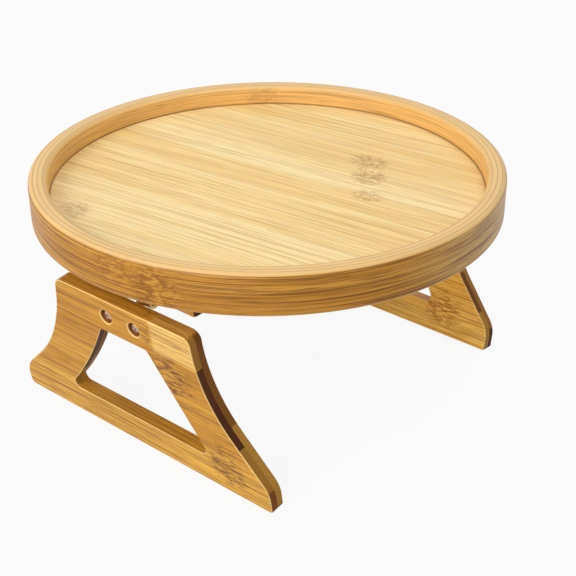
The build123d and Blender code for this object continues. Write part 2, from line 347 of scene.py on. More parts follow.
def new_material(name: str) -> tuple[bpy.types.Material, Graph, bpy.types.Node]:
    """Make a material that holds one principled shader.

    Args:
        name: The material's name.

    Returns:
        The material, its graph and the shader.
    """
    material = bpy.data.materials.new(name)
    material.use_nodes = True
    material.node_tree.nodes.clear()
    graph = Graph(material.node_tree)
    shader = graph.add("ShaderNodeBsdfPrincipled")
    output = graph.add("ShaderNodeOutputMaterial")
    graph.feed(output.inputs["Surface"], shader.outputs[0])
    return material, graph, shader


# Bamboo


@dataclass(frozen=True)
class NodeMark:
    """A bamboo joint: a patch of curled fibres that lies across the grain.

    Its place and size are in millimetres along and across the grain.
    """

    along: float
    across: float
    length: float
    width: float
    strength: float = 1.0
    curl: float = 1.0


@dataclass(frozen=True)
class ToneBlock:
    """A stretch of one strip that is lighter or darker than the rest."""

    across_from: float
    across_to: float
    along_from: float
    along_to: float
    tone: float


@dataclass(frozen=True)
class WoodTones:
    """The tones of one piece of bamboo, from its ground to its fibres and joints."""

    pale: Colour
    honey: Colour
    streak: Colour
    fibre: Colour
    mark: Colour


@dataclass
class Grain:
    """Where a point lies in the wood, as sockets in millimetres.

    Attributes:
        along: Along the fibres.
        across: Across them, over the strips.
        depth: Through the plies.
        end: How far the surface cuts across the fibres, 0 to 1.
        flat: How far the surface faces through the plies, 0 to 1.
        stretch: Gives noise coordinates for a length along the fibres and a width across them.
    """

    along: Socket
    across: Socket
    depth: Socket
    end: Input
    flat: Socket
    stretch: Callable[[float, float], tuple[Socket, Input]]


@dataclass(frozen=True)
class BambooFinish(ABC):
    """Lacquered bamboo: pressed strips with soft streaks, thin fibres and joints.

    Lengths and widths are in millimetres; amounts and shares go from 0 to 1.
    """

    name: str
    seed: float
    pale: Colour
    honey: Colour
    streak: Colour
    fibre: Colour
    strip_width: float
    ply: float
    strip_contrast: float
    streak_length: float
    streak_width: float
    streak_amount: float
    fibre_length: float
    fibre_width: float
    fibre_amount: float
    strip_shift: float = 0.0
    cloud_grain: tuple[float, float] = (160.0, 14.0)
    cloud_contrast: float = 1.5
    strand_length: float = 100.0
    strand_width: float = 1.7
    strand_amount: float = 0.8
    seam_width: float = 0.3
    seam_amount: float = 0.25
    stagger: float = 0.0
    # Painted shade on the board's edge faces.
    painted_side_shade: float = 0.0
    # Painted highlight, partly also worn paler edges, along the rounded arrises.
    edge_highlight_and_wear: float = 0.0
    # A pale colour: real lighter tone in the named stretches, and painted highlight on the arrises and the
    # counterbores' lips.
    pale_tone_and_highlight: Colour = srgb(255, 222, 150)
    # The cut ends are darker partly as bamboo's end grain is, and partly as painted shade.
    end_grain: Colour = srgb(118, 68, 12)
    end_light: Colour = srgb(176, 128, 48)
    end_dark: Colour = srgb(72, 32, 2)
    mark_grain: tuple[float, float] = (4.5, 1.1)
    mark_share: float = 0.7
    mark_colour: Colour = srgb(146, 82, 16)
    roughness: float = 0.4
    specular: float = 0.2
    coat: float = 0.08
    coat_roughness: float = 0.25
    relief: float = 0.06
    marks: tuple[NodeMark, ...] = ()
    blocks: tuple[ToneBlock, ...] = ()
    block_blur: float = 1.6
    block_seam: float = 0.25

    @abstractmethod
    def lay(self, graph: Graph) -> Grain:
        """Give the point's place in the wood.

        Args:
            graph: The material's graph.

        Returns:
            The place along, across and through the wood.
        """

    def ground_tone(self, graph: Graph, grain: Grain, colour: Socket) -> Socket:
        """Change the colour under the fibres, where a part of the tray asks for it.

        Args:
            graph: The material's graph.
            grain: The point's place in the wood.
            colour: The colour so far.

        Returns:
            The colour under the fibres.
        """
        return colour

    def own_detail(self, graph: Graph, grain: Grain, colour: Socket) -> Socket:
        """Add what only this part of the tray has.

        Args:
            graph: The material's graph.
            grain: The point's place in the wood.
            colour: The colour so far.

        Returns:
            The colour with the detail.
        """
        return colour

    def grained(
        self,
        graph: Graph,
        grain: Grain,
        length: float,
        width: float,
        shift: float = 0.0,
        detail: float = 2.0,
        distortion: float = 0.0,
    ) -> Socket:
        """Sample noise that is drawn out along the fibres.

        Args:
            graph: The material's graph.
            grain: The point's place in the wood.
            length: The pattern's rough length along the fibres.
            width: Its rough width across them.
            shift: What sets this noise apart from others.
            detail: How many finer layers are added.
            distortion: How much the pattern is bent by itself.

        Returns:
            A number around one half.
        """
        place, w = grain.stretch(length, width)
        return graph.noise(place, graph.math("ADD", w, shift), detail, distortion)

    def lines(
        self, graph: Graph, grain: Grain, size: tuple[float, float], level: tuple[float, float], shift: float
    ) -> Socket:
        """Draw long tapering lines along the fibres.

        Args:
            graph: The material's graph.
            grain: The point's place in the wood.
            size: The lines' rough length and width.
            level: The noise levels where a line starts and where it is full.
            shift: What sets this set of lines apart from others.

        Returns:
            A mask of the lines.
        """
        return graph.ramp(self.grained(graph, grain, *size, self.seed + shift, detail=2.5), *level)

    def strip_tone(self, graph: Graph, grain: Grain) -> tuple[Socket, Socket]:
        """Give each strip and ply its own tone, with a thin seam between strips.

        Args:
            graph: The material's graph.
            grain: The point's place in the wood.

        Returns:
            The tone from 0 to 1, and a mask of the seams.
        """
        rows = graph.math("DIVIDE", graph.math("ADD", grain.across, self.strip_shift), self.strip_width)
        ply = graph.math("FLOOR", graph.math("DIVIDE", grain.depth, self.ply))
        rows = graph.math("MULTIPLY_ADD", ply, -self.stagger, rows)
        cell = graph.combine(graph.math("FLOOR", rows), ply, self.seed)
        off_seam = graph.math("PINGPONG", rows, 0.5)
        reach = self.seam_width / self.strip_width
        return graph.chance(cell), graph.ramp(off_seam, reach, reach / 3)

    def block_tone(self, graph: Graph, grain: Grain) -> Input:
        """Add up the tones of the stretches that are named.

        Args:
            graph: The material's graph.
            grain: The point's place in the wood.

        Returns:
            How much lighter, or darker below zero, the point is.
        """
        total: Input = 0.0
        blur, seam = self.block_blur, self.block_seam
        for block in self.blocks:
            inside = graph.product(
                graph.ramp(grain.along, block.along_from - blur, block.along_from + blur),
                graph.ramp(grain.along, block.along_to + blur, block.along_to - blur),
                graph.ramp(grain.across, block.across_from - seam, block.across_from + seam),
                graph.ramp(grain.across, block.across_to + seam, block.across_to - seam),
                block.tone,
            )
            total = graph.math("ADD", total, inside)
        return total

    def ground(self, graph: Graph, grain: Grain, tone: Socket, cloud: Socket) -> Socket:
        """Colour the wood between the fibres: strips, clouds, strands, the stretches that are named, and
        painted shade on the edge faces.

        Args:
            graph: The material's graph.
            grain: The point's place in the wood.
            tone: The strip's tone.
            cloud: The slow noise that lightens and darkens the wood.

        Returns:
            The colour.
        """
        block = self.block_tone(graph, grain)
        strand = self.grained(graph, grain, self.strand_length, self.strand_width, self.seed + 4.4)
        lightness = graph.math(
            "ADD", graph.spread(tone, self.strip_contrast), graph.spread(cloud, self.cloud_contrast)
        )
        lightness = graph.math("ADD", lightness, block)
        lightness = graph.math("ADD", lightness, graph.spread(strand, 3.0 * self.strand_amount))
        colour = graph.mix(graph.ramp(lightness, 0.5, -0.5), self.pale, self.honey)
        if self.blocks:
            colour = graph.wash(colour, self.pale_tone_and_highlight, graph.ramp(block, 0.0, 1.0), 0.7)
            colour = graph.wash(colour, self.streak, graph.ramp(block, 0.0, -1.0), 0.9)
        # Painted shade: the faces that turn away from the plies' face are darkened towards the streak colour.
        if self.painted_side_shade:
            colour = graph.wash(colour, self.streak, graph.ramp(grain.flat, 0.7, 0.2), self.painted_side_shade)
        return colour

    def draw_fibres(self, graph: Graph, grain: Grain, colour: Socket) -> tuple[Socket, Socket, Socket]:
        """Draw the streaks, the fibres and the finest lines.

        Args:
            graph: The material's graph.
            grain: The point's place in the wood.
            colour: The colour so far.

        Returns:
            The colour, the fibres' mask and the finest lines' mask.
        """
        length, width, amount = self.fibre_length, self.fibre_width, self.fibre_amount
        streaks = self.lines(graph, grain, (self.streak_length, self.streak_width), (0.5, 0.72), 1.3)
        long = self.lines(graph, grain, (length, width), (0.5, 0.62), 5.2)
        short = self.lines(graph, grain, (length / 3, width * 1.2), (0.56, 0.66), 7.9)
        fine = self.lines(graph, grain, (length / 2, width / 2.2), (0.44, 0.6), 2.4)
        fibres = graph.math("MAXIMUM", long, graph.math("MULTIPLY", short, 0.8))
        colour = graph.wash(colour, self.streak, streaks, self.streak_amount)
        colour = graph.wash(colour, self.fibre, fibres, amount)
        return graph.wash(colour, self.fibre, fine, amount * 0.4), fibres, fine

    def mark_masks(self, graph: Graph, grain: Grain) -> tuple[Input, Input]:
        """Find the joints: where they are, and the curled fibres in them.

        Args:
            graph: The material's graph.
            grain: The point's place in the wood.

        Returns:
            The patches' mask and the curls' mask.
        """
        patch: Input = 0.0
        curls: Input = 0.0
        wobble = graph.spread(self.grained(graph, grain, 9.0, 5.0), 1.6)
        for mark in self.marks:
            u = graph.math("DIVIDE", graph.math("SUBTRACT", grain.along, mark.along), mark.length / 2)
            v = graph.math("DIVIDE", graph.math("SUBTRACT", grain.across, mark.across), mark.width / 2)
            off = graph.math("ADD", graph.vector("LENGTH", graph.combine(u, v, 0.0)), wobble)
            mask = graph.math("MULTIPLY", graph.ramp(off, 1.05, 0.45), mark.strength)
            patch = graph.math("MAXIMUM", patch, mask)
            curls = graph.math("MAXIMUM", curls, graph.math("MULTIPLY", mask, mark.curl))
        swirl = self.grained(graph, grain, 5.2, 2.1, 3.7, detail=1.2, distortion=1.4)
        rings = graph.math("PINGPONG", graph.math("MULTIPLY", swirl, 5.0), 0.5)
        return patch, graph.math("MULTIPLY", graph.ramp(rings, 0.17, 0.05), curls)

    def draw_marks(self, graph: Graph, grain: Grain, colour: Socket) -> tuple[Socket, Input]:
        """Draw the joints: dark and pale flecks, with the curled fibres over them.

        Args:
            graph: The material's graph.
            grain: The point's place in the wood.
            colour: The colour so far.

        Returns:
            The colour and the curls' mask.
        """
        if not self.marks:
            return colour, 0.0
        patch, curls = self.mark_masks(graph, grain)
        flecks = self.grained(graph, grain, *self.mark_grain, 8.8, distortion=0.7)
        dark = graph.math("MULTIPLY_ADD", graph.ramp(flecks, 0.47, 0.6), self.mark_share, 0.08)
        colour = graph.wash(colour, self.mark_colour, patch, dark)
        colour = graph.wash(colour, self.pale, patch, graph.ramp(flecks, 0.48, 0.38), 0.6)
        return graph.wash(colour, self.mark_colour, curls, 0.85), curls

    def end_colour(self, graph: Graph, grain: Grain, tone: Socket) -> Socket:
        """Colour the cut ends: blocks of strips and plies, dotted with fibre bundles, darker partly as real
        end grain and partly as painted shade.

        Args:
            graph: The material's graph.
            grain: The point's place in the wood.
            tone: The strip's tone.

        Returns:
            The colour.
        """
        node = graph.add("ShaderNodeTexVoronoi", feature="F1", voronoi_dimensions="2D")
        graph.feed(node.inputs["Vector"], graph.combine(grain.across, grain.depth, 0.0))
        graph.feed(node.inputs["Scale"], 1.35)
        dots = graph.ramp(node.outputs["Distance"], 0.42, 0.12)
        block = graph.mix(graph.ramp(tone, 0.25, 0.5), self.end_dark, self.end_grain)
        block = graph.mix(graph.ramp(tone, 0.6, 0.85), block, self.end_light)
        return graph.wash(block, self.end_dark, dots, 0.5)

    def material(self) -> bpy.types.Material:
        """Build the finish.

        Returns:
            The material.
        """
        material, graph, shader = new_material(self.name)
        grain = self.lay(graph)
        tone, seam = self.strip_tone(graph, grain)
        cloud = self.grained(graph, grain, *self.cloud_grain, self.seed + 9.1)
        colour = self.ground_tone(graph, grain, self.ground(graph, grain, tone, cloud))
        colour, fibres, fine = self.draw_fibres(graph, grain, colour)
        colour = graph.wash(colour, self.fibre, seam, self.seam_amount)
        colour, curls = self.draw_marks(graph, grain, colour)
        if isinstance(grain.end, bpy.types.NodeSocket):
            colour = graph.mix(grain.end, colour, self.end_colour(graph, grain, tone))
        # Painted highlight, partly also worn paler edges: the rounded arrises are lightened towards the pale
        # colour.
        if self.edge_highlight_and_wear:
            turned = graph.ramp(grain.flat, 0.35, 0.6), graph.ramp(grain.flat, 0.99, 0.93)
            colour = graph.wash(colour, self.pale_tone_and_highlight, *turned, self.edge_highlight_and_wear)
        colour = self.own_detail(graph, grain, colour)

        sunk = graph.math("MULTIPLY_ADD", fine, 0.4, graph.math("MULTIPLY", fibres, 0.5))
        height = graph.math("SUBTRACT", graph.math("SUBTRACT", 1.0, sunk), graph.math("MULTIPLY", curls, 0.4))
        rough = graph.math("MULTIPLY_ADD", fine, 0.08, self.roughness)
        rough = graph.math("MULTIPLY_ADD", grain.end, 0.3, rough)
        graph.feed(shader.inputs["Base Color"], colour)
        graph.feed(shader.inputs["Normal"], graph.bump(height, self.relief))
        graph.feed(shader.inputs["Roughness"], graph.math("MULTIPLY_ADD", cloud, 0.08, rough))
        shader.inputs["Specular IOR Level"].default_value = self.specular
        shader.inputs["Coat Weight"].default_value = self.coat
        shader.inputs["Coat Roughness"].default_value = self.coat_roughness
        return material


@dataclass(frozen=True)
class StraightBamboo(BambooFinish):
    """Bamboo whose fibres run straight, in boards and battens.

    The three directions are unit vectors of the part's frame.
    """

    origin: Point = (0.0, 0.0, 0.0)
    along: Point = (0.0, 1.0, 0.0)
    across: Point = (1.0, 0.0, 0.0)
    depth: Point = (0.0, 0.0, 1.0)
    side: int = 1

    def lay(self, graph: Graph) -> Grain:
        """Measure the place along the three directions.

        Args:
            graph: The material's graph.

        Returns:
            The place along, across and through the wood.
        """
        here = graph.vector("MULTIPLY", graph.place_mm(), (self.side, 1.0, 1.0))
        turned = graph.vector("MULTIPLY", graph.normal(), (self.side, 1.0, 1.0))
        here = graph.vector("SUBTRACT", here, self.origin)
        along = graph.vector("DOT_PRODUCT", here, self.along)
        across = graph.vector("DOT_PRODUCT", here, self.across)
        depth = graph.vector("DOT_PRODUCT", here, self.depth)
        facing = graph.math("ABSOLUTE", graph.vector("DOT_PRODUCT", turned, self.along))
        flat = graph.math("ABSOLUTE", graph.vector("DOT_PRODUCT", turned, self.depth))

        def stretch(length: float, width: float) -> tuple[Socket, Input]:
            """Scale the place for a noise that is drawn out along the fibres.

            Args:
                length: The pattern's rough length along the fibres.
                width: Its rough width across them.

            Returns:
                The noise's point and its fourth coordinate.
            """
            place = graph.combine(
                graph.math("DIVIDE", along, length),
                graph.math("DIVIDE", across, width),
                graph.math("DIVIDE", depth, width),
            )
            return place, self.seed

        return Grain(along, across, depth, graph.ramp(facing, 0.35, 0.75), flat, stretch)


@dataclass(frozen=True)
class PanelBamboo(StraightBamboo):
    """The floor's bamboo, with a dark line where it meets the rim."""

    joint_radius: float = 114.7
    joint_width: float = 1.2
    joint_amount: float = 0.5

    def own_detail(self, graph: Graph, grain: Grain, colour: Socket) -> Socket:
        """Draw the dark line round the panel.

        Args:
            graph: The material's graph.
            grain: The point's place in the wood.
            colour: The colour so far.

        Returns:
            The colour with the line.
        """
        reach = graph.vector("LENGTH", graph.combine(grain.along, grain.across, 0.0))
        line = graph.ramp(reach, self.joint_radius - self.joint_width, self.joint_radius)
        return graph.wash(colour, self.fibre, line, self.joint_amount)


@dataclass(frozen=True)
class BentBamboo(BambooFinish):
    """Bamboo strips that are bent round the tray: the fibres follow the ring.

    Angles are in degrees round the ring.
    """

    radius: float = 120.0
    inner_radius: float = 115.0
    seam_angle: float = -60.0
    top_colour: Colour = srgb(252, 216, 152)
    # The inner ply is paler partly as its own tone and partly as painted bounce light from the floor.
    inner_tone_and_painted_bounce: Colour = srgb(255, 206, 126)
    # Painted sheen: a pale, greyer colour on a stretch of the outer ply, standing in for a grazing reflection
    # of the white surroundings.
    painted_sheen_colour: Colour = srgb(222, 188, 118)
    painted_sheen_angle: float = -60.0
    painted_sheen_share: float = 0.75
    ply_line: float = 0.45
    floor_top: float = 117.557

    def lay(self, graph: Graph) -> Grain:
        """Measure the place round the ring, up it and through its plies.

        Args:
            graph: The material's graph.

        Returns:
            The place along, across and through the wood.
        """
        x, y, z = graph.split(graph.place_mm())
        spoke = graph.combine(x, y, 0.0)
        reach = graph.vector("LENGTH", spoke)
        cosine, sine, _ = graph.split(graph.vector("NORMALIZE", spoke))
        turn = radians(self.seam_angle)
        ahead = graph.vector("DOT_PRODUCT", spoke, (-cos(turn), -sin(turn), 0.0))
        aside = graph.vector("DOT_PRODUCT", spoke, (sin(turn), -cos(turn), 0.0))
        along = graph.math("MULTIPLY", graph.math("ARCTAN2", aside, ahead), self.radius)
        depth = graph.math("SUBTRACT", reach, self.inner_radius)
        flat = graph.math("ABSOLUTE", graph.vector("DOT_PRODUCT", graph.normal(), (0.0, 0.0, 1.0)))

        def stretch(length: float, width: float) -> tuple[Socket, Input]:
            """Scale the place for a noise that is drawn out round the ring.

            Args:
                length: The pattern's rough length round the ring.
                width: Its rough width across the strips and the plies.

            Returns:
                The noise's point and its fourth coordinate.
            """
            laps = self.radius / length
            place = graph.combine(
                graph.math("MULTIPLY", cosine, laps),
                graph.math("MULTIPLY", sine, laps),
                graph.math("DIVIDE", z, width),
            )
            return place, graph.math("DIVIDE", depth, width)

        return Grain(along, z, depth, 0.0, flat, stretch)

    def inner_ply(self, graph: Graph, grain: Grain) -> Socket:
        """Mask the innermost ply, whose wall faces the floor."""
        return graph.ramp(grain.depth, 1.6, 0.4)

    def ground_tone(self, graph: Graph, grain: Grain, colour: Socket) -> Socket:
        """Lighten the innermost ply, partly as its own tone and partly as painted bounce light from the
        floor, and paint a pale sheen on a stretch of the outer ply, which stands for a grazing reflection.

        Args:
            graph: The material's graph.
            grain: The point's place in the wood.
            colour: The colour so far.

        Returns:
            The colour under the fibres.
        """
        x, y, _ = graph.split(graph.place_mm())
        spoke = graph.vector("NORMALIZE", graph.combine(x, y, 0.0))
        turn = radians(self.painted_sheen_angle)
        towards = graph.vector("DOT_PRODUCT", spoke, (cos(turn), sin(turn), 0.0))
        # Painted sheen: the outer ply's stretch round the sheen angle is washed pale.
        stretch, outer_ply = graph.ramp(towards, 0.62, 0.97), graph.ramp(grain.depth, 7.0, 9.0)
        colour = graph.wash(colour, self.painted_sheen_colour, stretch, outer_ply, self.painted_sheen_share)
        # Partly painted bounce light: the inner ply is lightened, partly for its own tone.
        return graph.wash(colour, self.inner_tone_and_painted_bounce, self.inner_ply(graph, grain), 0.5)

    def own_detail(self, graph: Graph, grain: Grain, colour: Socket) -> Socket:
        """Draw the lines between the bent plies, and the dark line above the floor.

        Args:
            graph: The material's graph.
            grain: The point's place in the wood.
            colour: The colour so far.

        Returns:
            The colour with the ply lines.
        """
        inner = self.inner_ply(graph, grain)
        # Partly painted bounce light: the inner ply is lightened again, partly for its own tone.
        colour = graph.wash(colour, self.inner_tone_and_painted_bounce, inner, 0.45)
        joint = graph.ramp(grain.across, self.floor_top + 1.0, self.floor_top + 0.2)
        colour = graph.wash(colour, self.fibre, joint, inner, 0.6)

        sway_place, _ = grain.stretch(60.0, 1000.0)
        place = graph.math("ADD", grain.depth, graph.spread(graph.noise(sway_place, 2.0), 0.8))
        line = graph.ramp(graph.math("PINGPONG", place, self.ply / 2), 0.3, 0.08)
        ply = graph.math("FLOOR", graph.math("DIVIDE", place, self.ply))
        tint = graph.chance(graph.combine(ply, 4.0, self.seed))
        level = graph.ramp(grain.flat, 0.35, 0.8)
        colour = graph.wash(colour, self.top_colour, level, 0.7)
        colour = graph.wash(colour, self.honey, level, tint, 0.3)
        return graph.wash(colour, self.fibre, level, line, self.ply_line)


@dataclass(frozen=True)
class BoredBamboo(StraightBamboo):
    """A leg's bamboo, with the counterbores of its two screws cut into it."""

    bore_along: float = 9.8
    bore_across: float = 11.06
    bore_radius: float = 3.9
    bore_lip: float = 0.6
    bore_colour: Colour = srgb(138, 74, 44)

    def own_detail(self, graph: Graph, grain: Grain, colour: Socket) -> Socket:
        """Redden the counterbores' walls and paint a highlight on their lips.

        Args:
            graph: The material's graph.
            grain: The point's place in the wood.
            colour: The colour so far.

        Returns:
            The colour with the bores.
        """
        u = graph.math("SUBTRACT", graph.math("ABSOLUTE", grain.along), self.bore_along)
        v = graph.math("SUBTRACT", grain.across, self.bore_across)
        off = graph.vector("LENGTH", graph.combine(u, v, 0.0))
        lip_end = self.bore_radius + self.bore_lip
        wall = graph.ramp(off, self.bore_radius + 0.12, self.bore_radius - 0.05)
        lip_in = graph.ramp(off, self.bore_radius, self.bore_radius + 0.2)
        lip_out = graph.ramp(off, lip_end + 0.3, lip_end)
        # Painted highlight: a pale ring on the counterbores' lips.
        colour = graph.wash(colour, self.pale_tone_and_highlight, lip_in, lip_out, 0.3)
        return graph.wash(colour, self.bore_colour, wall, 0.85)


# Metal


@dataclass(frozen=True)
class MetalFinish:
    """Plated or oiled steel with a mottled coat, fine scratches and a little wear."""

    name: str
    colour: Colour
    shade: Colour
    roughness: float
    mottle: float = 2.6
    flake: float = 0.28
    scratch_grain: Point = (3.1, 0.25, 3.1)
    scratch_depth: float = 0.35
    relief: float = 0.01

    def material(self) -> bpy.types.Material:
        """Build the finish.

        Returns:
            The material.
        """
        material, graph, shader = new_material(self.name)
        place = graph.place_mm()
        cloud = graph.noise(graph.vector("SCALE", place, scale=1 / self.mottle), 1.0, detail=3.0)
        flakes = graph.noise(graph.vector("SCALE", place, scale=1 / self.flake), 2.0, detail=1.0)
        drawn = graph.vector("MULTIPLY", place, self.scratch_grain)
        scratches = graph.ramp(graph.noise(drawn, 3.0, detail=3.0), 0.6, 0.68)
        colour = graph.mix(graph.ramp(cloud, 0.3, 0.7), self.colour, self.shade)
        colour = graph.wash(colour, self.shade, graph.ramp(flakes, 0.45, 0.75), 0.18)
        rough = graph.math("MULTIPLY_ADD", cloud, 0.18, self.roughness - 0.09)
        rough = graph.math("MULTIPLY_ADD", scratches, -0.08, rough)
        height = graph.math("MULTIPLY_ADD", scratches, -self.scratch_depth, flakes)
        shader.inputs["Metallic"].default_value = 1.0
        graph.feed(shader.inputs["Base Color"], colour)
        graph.feed(shader.inputs["Roughness"], rough)
        graph.feed(shader.inputs["Normal"], graph.bump(height, self.relief))
        return material


# Geometry Nodes


class GeometryTree:
    """A Geometry Nodes tree with named inputs, which ends in Realize Instances and Set Material."""

    def __init__(self, name: str) -> None:
        """Start the tree.

        Args:
            name: The tree's name.
        """
        self.tree = bpy.data.node_groups.new(name, "GeometryNodeTree")
        self.identifiers: dict[str, str] = {}
        self.tree.interface.new_socket("Geometry", in_out="INPUT", socket_type="NodeSocketGeometry")
        self.tree.interface.new_socket("Geometry", in_out="OUTPUT", socket_type="NodeSocketGeometry")
        self.inlet = self.tree.nodes.new("NodeGroupInput")
        self.material = self.input("Material", "NodeSocketMaterial")
        self.geometry = self.inlet.outputs["Geometry"]

    def input(self, name: str, kind: str, default: object = None) -> Socket:
        """Add a named input.

        Args:
            name: The input's name.
            kind: Its socket type.
            default: Its value where the modifier sets none.

        Returns:
            The input's socket inside the tree.
        """
        item = self.tree.interface.new_socket(name, in_out="INPUT", socket_type=kind)
        if default is not None:
            item.default_value = default
        self.identifiers[name] = item.identifier
        return self.inlet.outputs[name]

    def node(
        self, kind: str, inputs: dict[str | int, object] | None = None, **settings: object
    ) -> bpy.types.Node:
        """Add a node and feed it.

        Args:
            kind: The node's type name.
            inputs: Values or sockets by the input's name or number.
            **settings: Properties to set on the node.

        Returns:
            The node.
        """
        node = self.tree.nodes.new(kind)
        for name, value in settings.items():
            setattr(node, name, value)
        for key, value in (inputs or {}).items():
            socket = node.inputs[key]
            if isinstance(value, bpy.types.NodeSocket):
                self.tree.links.new(value, socket)
            else:
                socket.default_value = value
        return node

    def close(self, geometry: Socket) -> None:
        """End the tree.

        Args:
            geometry: What the tree has made.
        """
        real = self.node("GeometryNodeRealizeInstances", {"Geometry": geometry})
        dressed = self.node(
            "GeometryNodeSetMaterial", {"Geometry": real.outputs[0], "Material": self.material}
        )
        outlet = self.tree.nodes.new("NodeGroupOutput")
        self.tree.links.new(dressed.outputs[0], outlet.inputs[0])

    def grow(self, piece: bpy.types.Object, **values: object) -> None:
        """Run the tree on a piece and keep the result as the piece's plain mesh.

        Args:
            piece: The object whose mesh the tree starts from.
            **values: The tree's inputs, with an underscore for each space.
        """
        modifier = piece.modifiers.new("grow", "NODES")
        modifier.node_group = self.tree
        for name, value in values.items():
            modifier[self.identifiers[name.replace("_", " ").title()]] = value
        seen = bpy.context.evaluated_depsgraph_get()
        mesh = bpy.data.meshes.new_from_object(piece.evaluated_get(seen), depsgraph=seen)
        mesh.name = piece.name
        piece.modifiers.remove(modifier)
        piece.data = mesh


def sweep_tree() -> GeometryTree:
    """Sweep a round wire along a path.

    Returns:
        The tree.
    """
    tree = GeometryTree("wire sweep")
    radius = tree.input("Radius", "NodeSocketFloat", 0.6 * MM)
    sides = tree.input("Sides", "NodeSocketInt", 14)
    path = tree.node("GeometryNodeMeshToCurve", {"Mesh": tree.geometry})
    circle = tree.node("GeometryNodeCurvePrimitiveCircle", {"Resolution": sides, "Radius": radius})
    tube = tree.node(
        "GeometryNodeCurveToMesh",
        {"Curve": path.outputs[0], "Profile Curve": circle.outputs["Curve"], "Fill Caps": True},
    )
    tree.close(tube.outputs[0])
    return tree


def ring_tree() -> GeometryTree:
    """Carry a closed section round a ring.

    Returns:
        The tree.
    """
    tree = GeometryTree("bent ring")
    radius = tree.input("Radius", "NodeSocketFloat", 120 * MM)
    steps = tree.input("Steps", "NodeSocketInt", 240)
    section = tree.node("GeometryNodeMeshToCurve", {"Mesh": tree.geometry})
    circle = tree.node("GeometryNodeCurvePrimitiveCircle", {"Resolution": steps, "Radius": radius})
    ring = tree.node(
        "GeometryNodeCurveToMesh",
        {"Curve": circle.outputs["Curve"], "Profile Curve": section.outputs[0]},
    )
    tree.close(ring.outputs[0])
    return tree


def row_tree() -> GeometryTree:
    """Set equal fasteners in a row along Y, each turned a step further, and put the row in place.

    Returns:
        The tree.
    """
    tree = GeometryTree("fastener row")
    count = tree.input("Count", "NodeSocketInt", 2)
    spacing = tree.input("Spacing", "NodeSocketFloat", 20 * MM)
    first_turn = tree.input("First Turn", "NodeSocketFloat", 0.0)
    turn_step = tree.input("Turn Step", "NodeSocketFloat", 0.0)
    tilt = tree.input("Tilt", "NodeSocketVector")
    place = tree.input("Place", "NodeSocketVector")
    step = tree.node("ShaderNodeCombineXYZ", {"Y": spacing})
    span = tree.node("ShaderNodeMath", {0: count, 1: 1.0}, operation="SUBTRACT")
    half = tree.node("ShaderNodeMath", {0: span.outputs[0], 1: -0.5}, operation="MULTIPLY")
    first = tree.node(
        "ShaderNodeVectorMath", {0: step.outputs[0], "Scale": half.outputs[0]}, operation="SCALE"
    )
    points = tree.node(
        "GeometryNodeMeshLine",
        {"Count": count, "Start Location": first.outputs[0], "Offset": step.outputs[0]},
    )
    index = tree.node("GeometryNodeInputIndex")
    spin = tree.node(
        "ShaderNodeMath",
        {0: index.outputs[0], 1: turn_step, 2: first_turn},
        operation="MULTIPLY_ADD",
    )
    axis = tree.node("ShaderNodeCombineXYZ", {"Z": spin.outputs[0]})
    turned = tree.node("FunctionNodeEulerToRotation", {0: axis.outputs[0]})
    tilted = tree.node("FunctionNodeEulerToRotation", {0: tilt})
    both = tree.node(
        "FunctionNodeRotateRotation",
        {0: turned.outputs[0], 1: tilted.outputs[0]},
        rotation_space="GLOBAL",
    )
    placed = tree.node(
        "GeometryNodeInstanceOnPoints",
        {"Points": points.outputs[0], "Instance": tree.geometry, "Rotation": both.outputs[0]},
    )
    moved = tree.node("GeometryNodeTransform", {"Geometry": placed.outputs[0], "Translation": place})
    tree.close(moved.outputs[0])
    return tree


def thread_tree() -> GeometryTree:
    """Wind a thread's ridge round a shank and join it to the screw.

    Returns:
        The tree.
    """
    tree = GeometryTree("screw thread")
    turns = tree.input("Turns", "NodeSocketFloat", 10.0)
    length = tree.input("Length", "NodeSocketFloat", 5 * MM)
    radius = tree.input("Radius", "NodeSocketFloat", 1.4 * MM)
    ridge = tree.input("Ridge", "NodeSocketFloat", 0.2 * MM)
    start = tree.input("Start", "NodeSocketVector")
    spiral = tree.node(
        "GeometryNodeCurveSpiral",
        {
            "Resolution": 20,
            "Rotations": turns,
            "Start Radius": radius,
            "End Radius": radius,
            "Height": length,
        },
    )
    tooth = tree.node("GeometryNodeCurvePrimitiveCircle", {"Resolution": 4, "Radius": ridge})
    wound = tree.node(
        "GeometryNodeCurveToMesh",
        {"Curve": spiral.outputs[0], "Profile Curve": tooth.outputs["Curve"], "Fill Caps": True},
    )
    moved = tree.node("GeometryNodeTransform", {"Geometry": wound.outputs[0], "Translation": start})
    joined = tree.node("GeometryNodeJoinGeometry")
    tree.tree.links.new(moved.outputs[0], joined.inputs[0])
    tree.tree.links.new(tree.geometry, joined.inputs[0])
    tree.close(joined.outputs[0])
    return tree


class Trees:
    """The Geometry Nodes trees that the sub-assemblies share."""

    def __init__(self) -> None:
        """Build each tree once."""
        self.sweep = sweep_tree()
        self.ring = ring_tree()
        self.row = row_tree()
        self.thread = thread_tree()


# Meshes


def mesh_object(
    name: str,
    points: Iterable[Iterable[float]],
    edges: Sequence[tuple[int, int]],
    faces: Sequence[tuple[int, ...]],
) -> bpy.types.Object:
    """Make an object from points in millimetres.

    Args:
        name: The object's name.
        points: The points.
        edges: Pairs of point numbers.
        faces: Rings of point numbers.

    Returns:
        The object, linked to the scene.
    """
    mesh = bpy.data.meshes.new(name)
    mesh.from_pydata([Vector(p) * MM for p in points], edges, faces)
    piece = bpy.data.objects.new(name, mesh)
    bpy.context.scene.collection.objects.link(piece)
    return piece


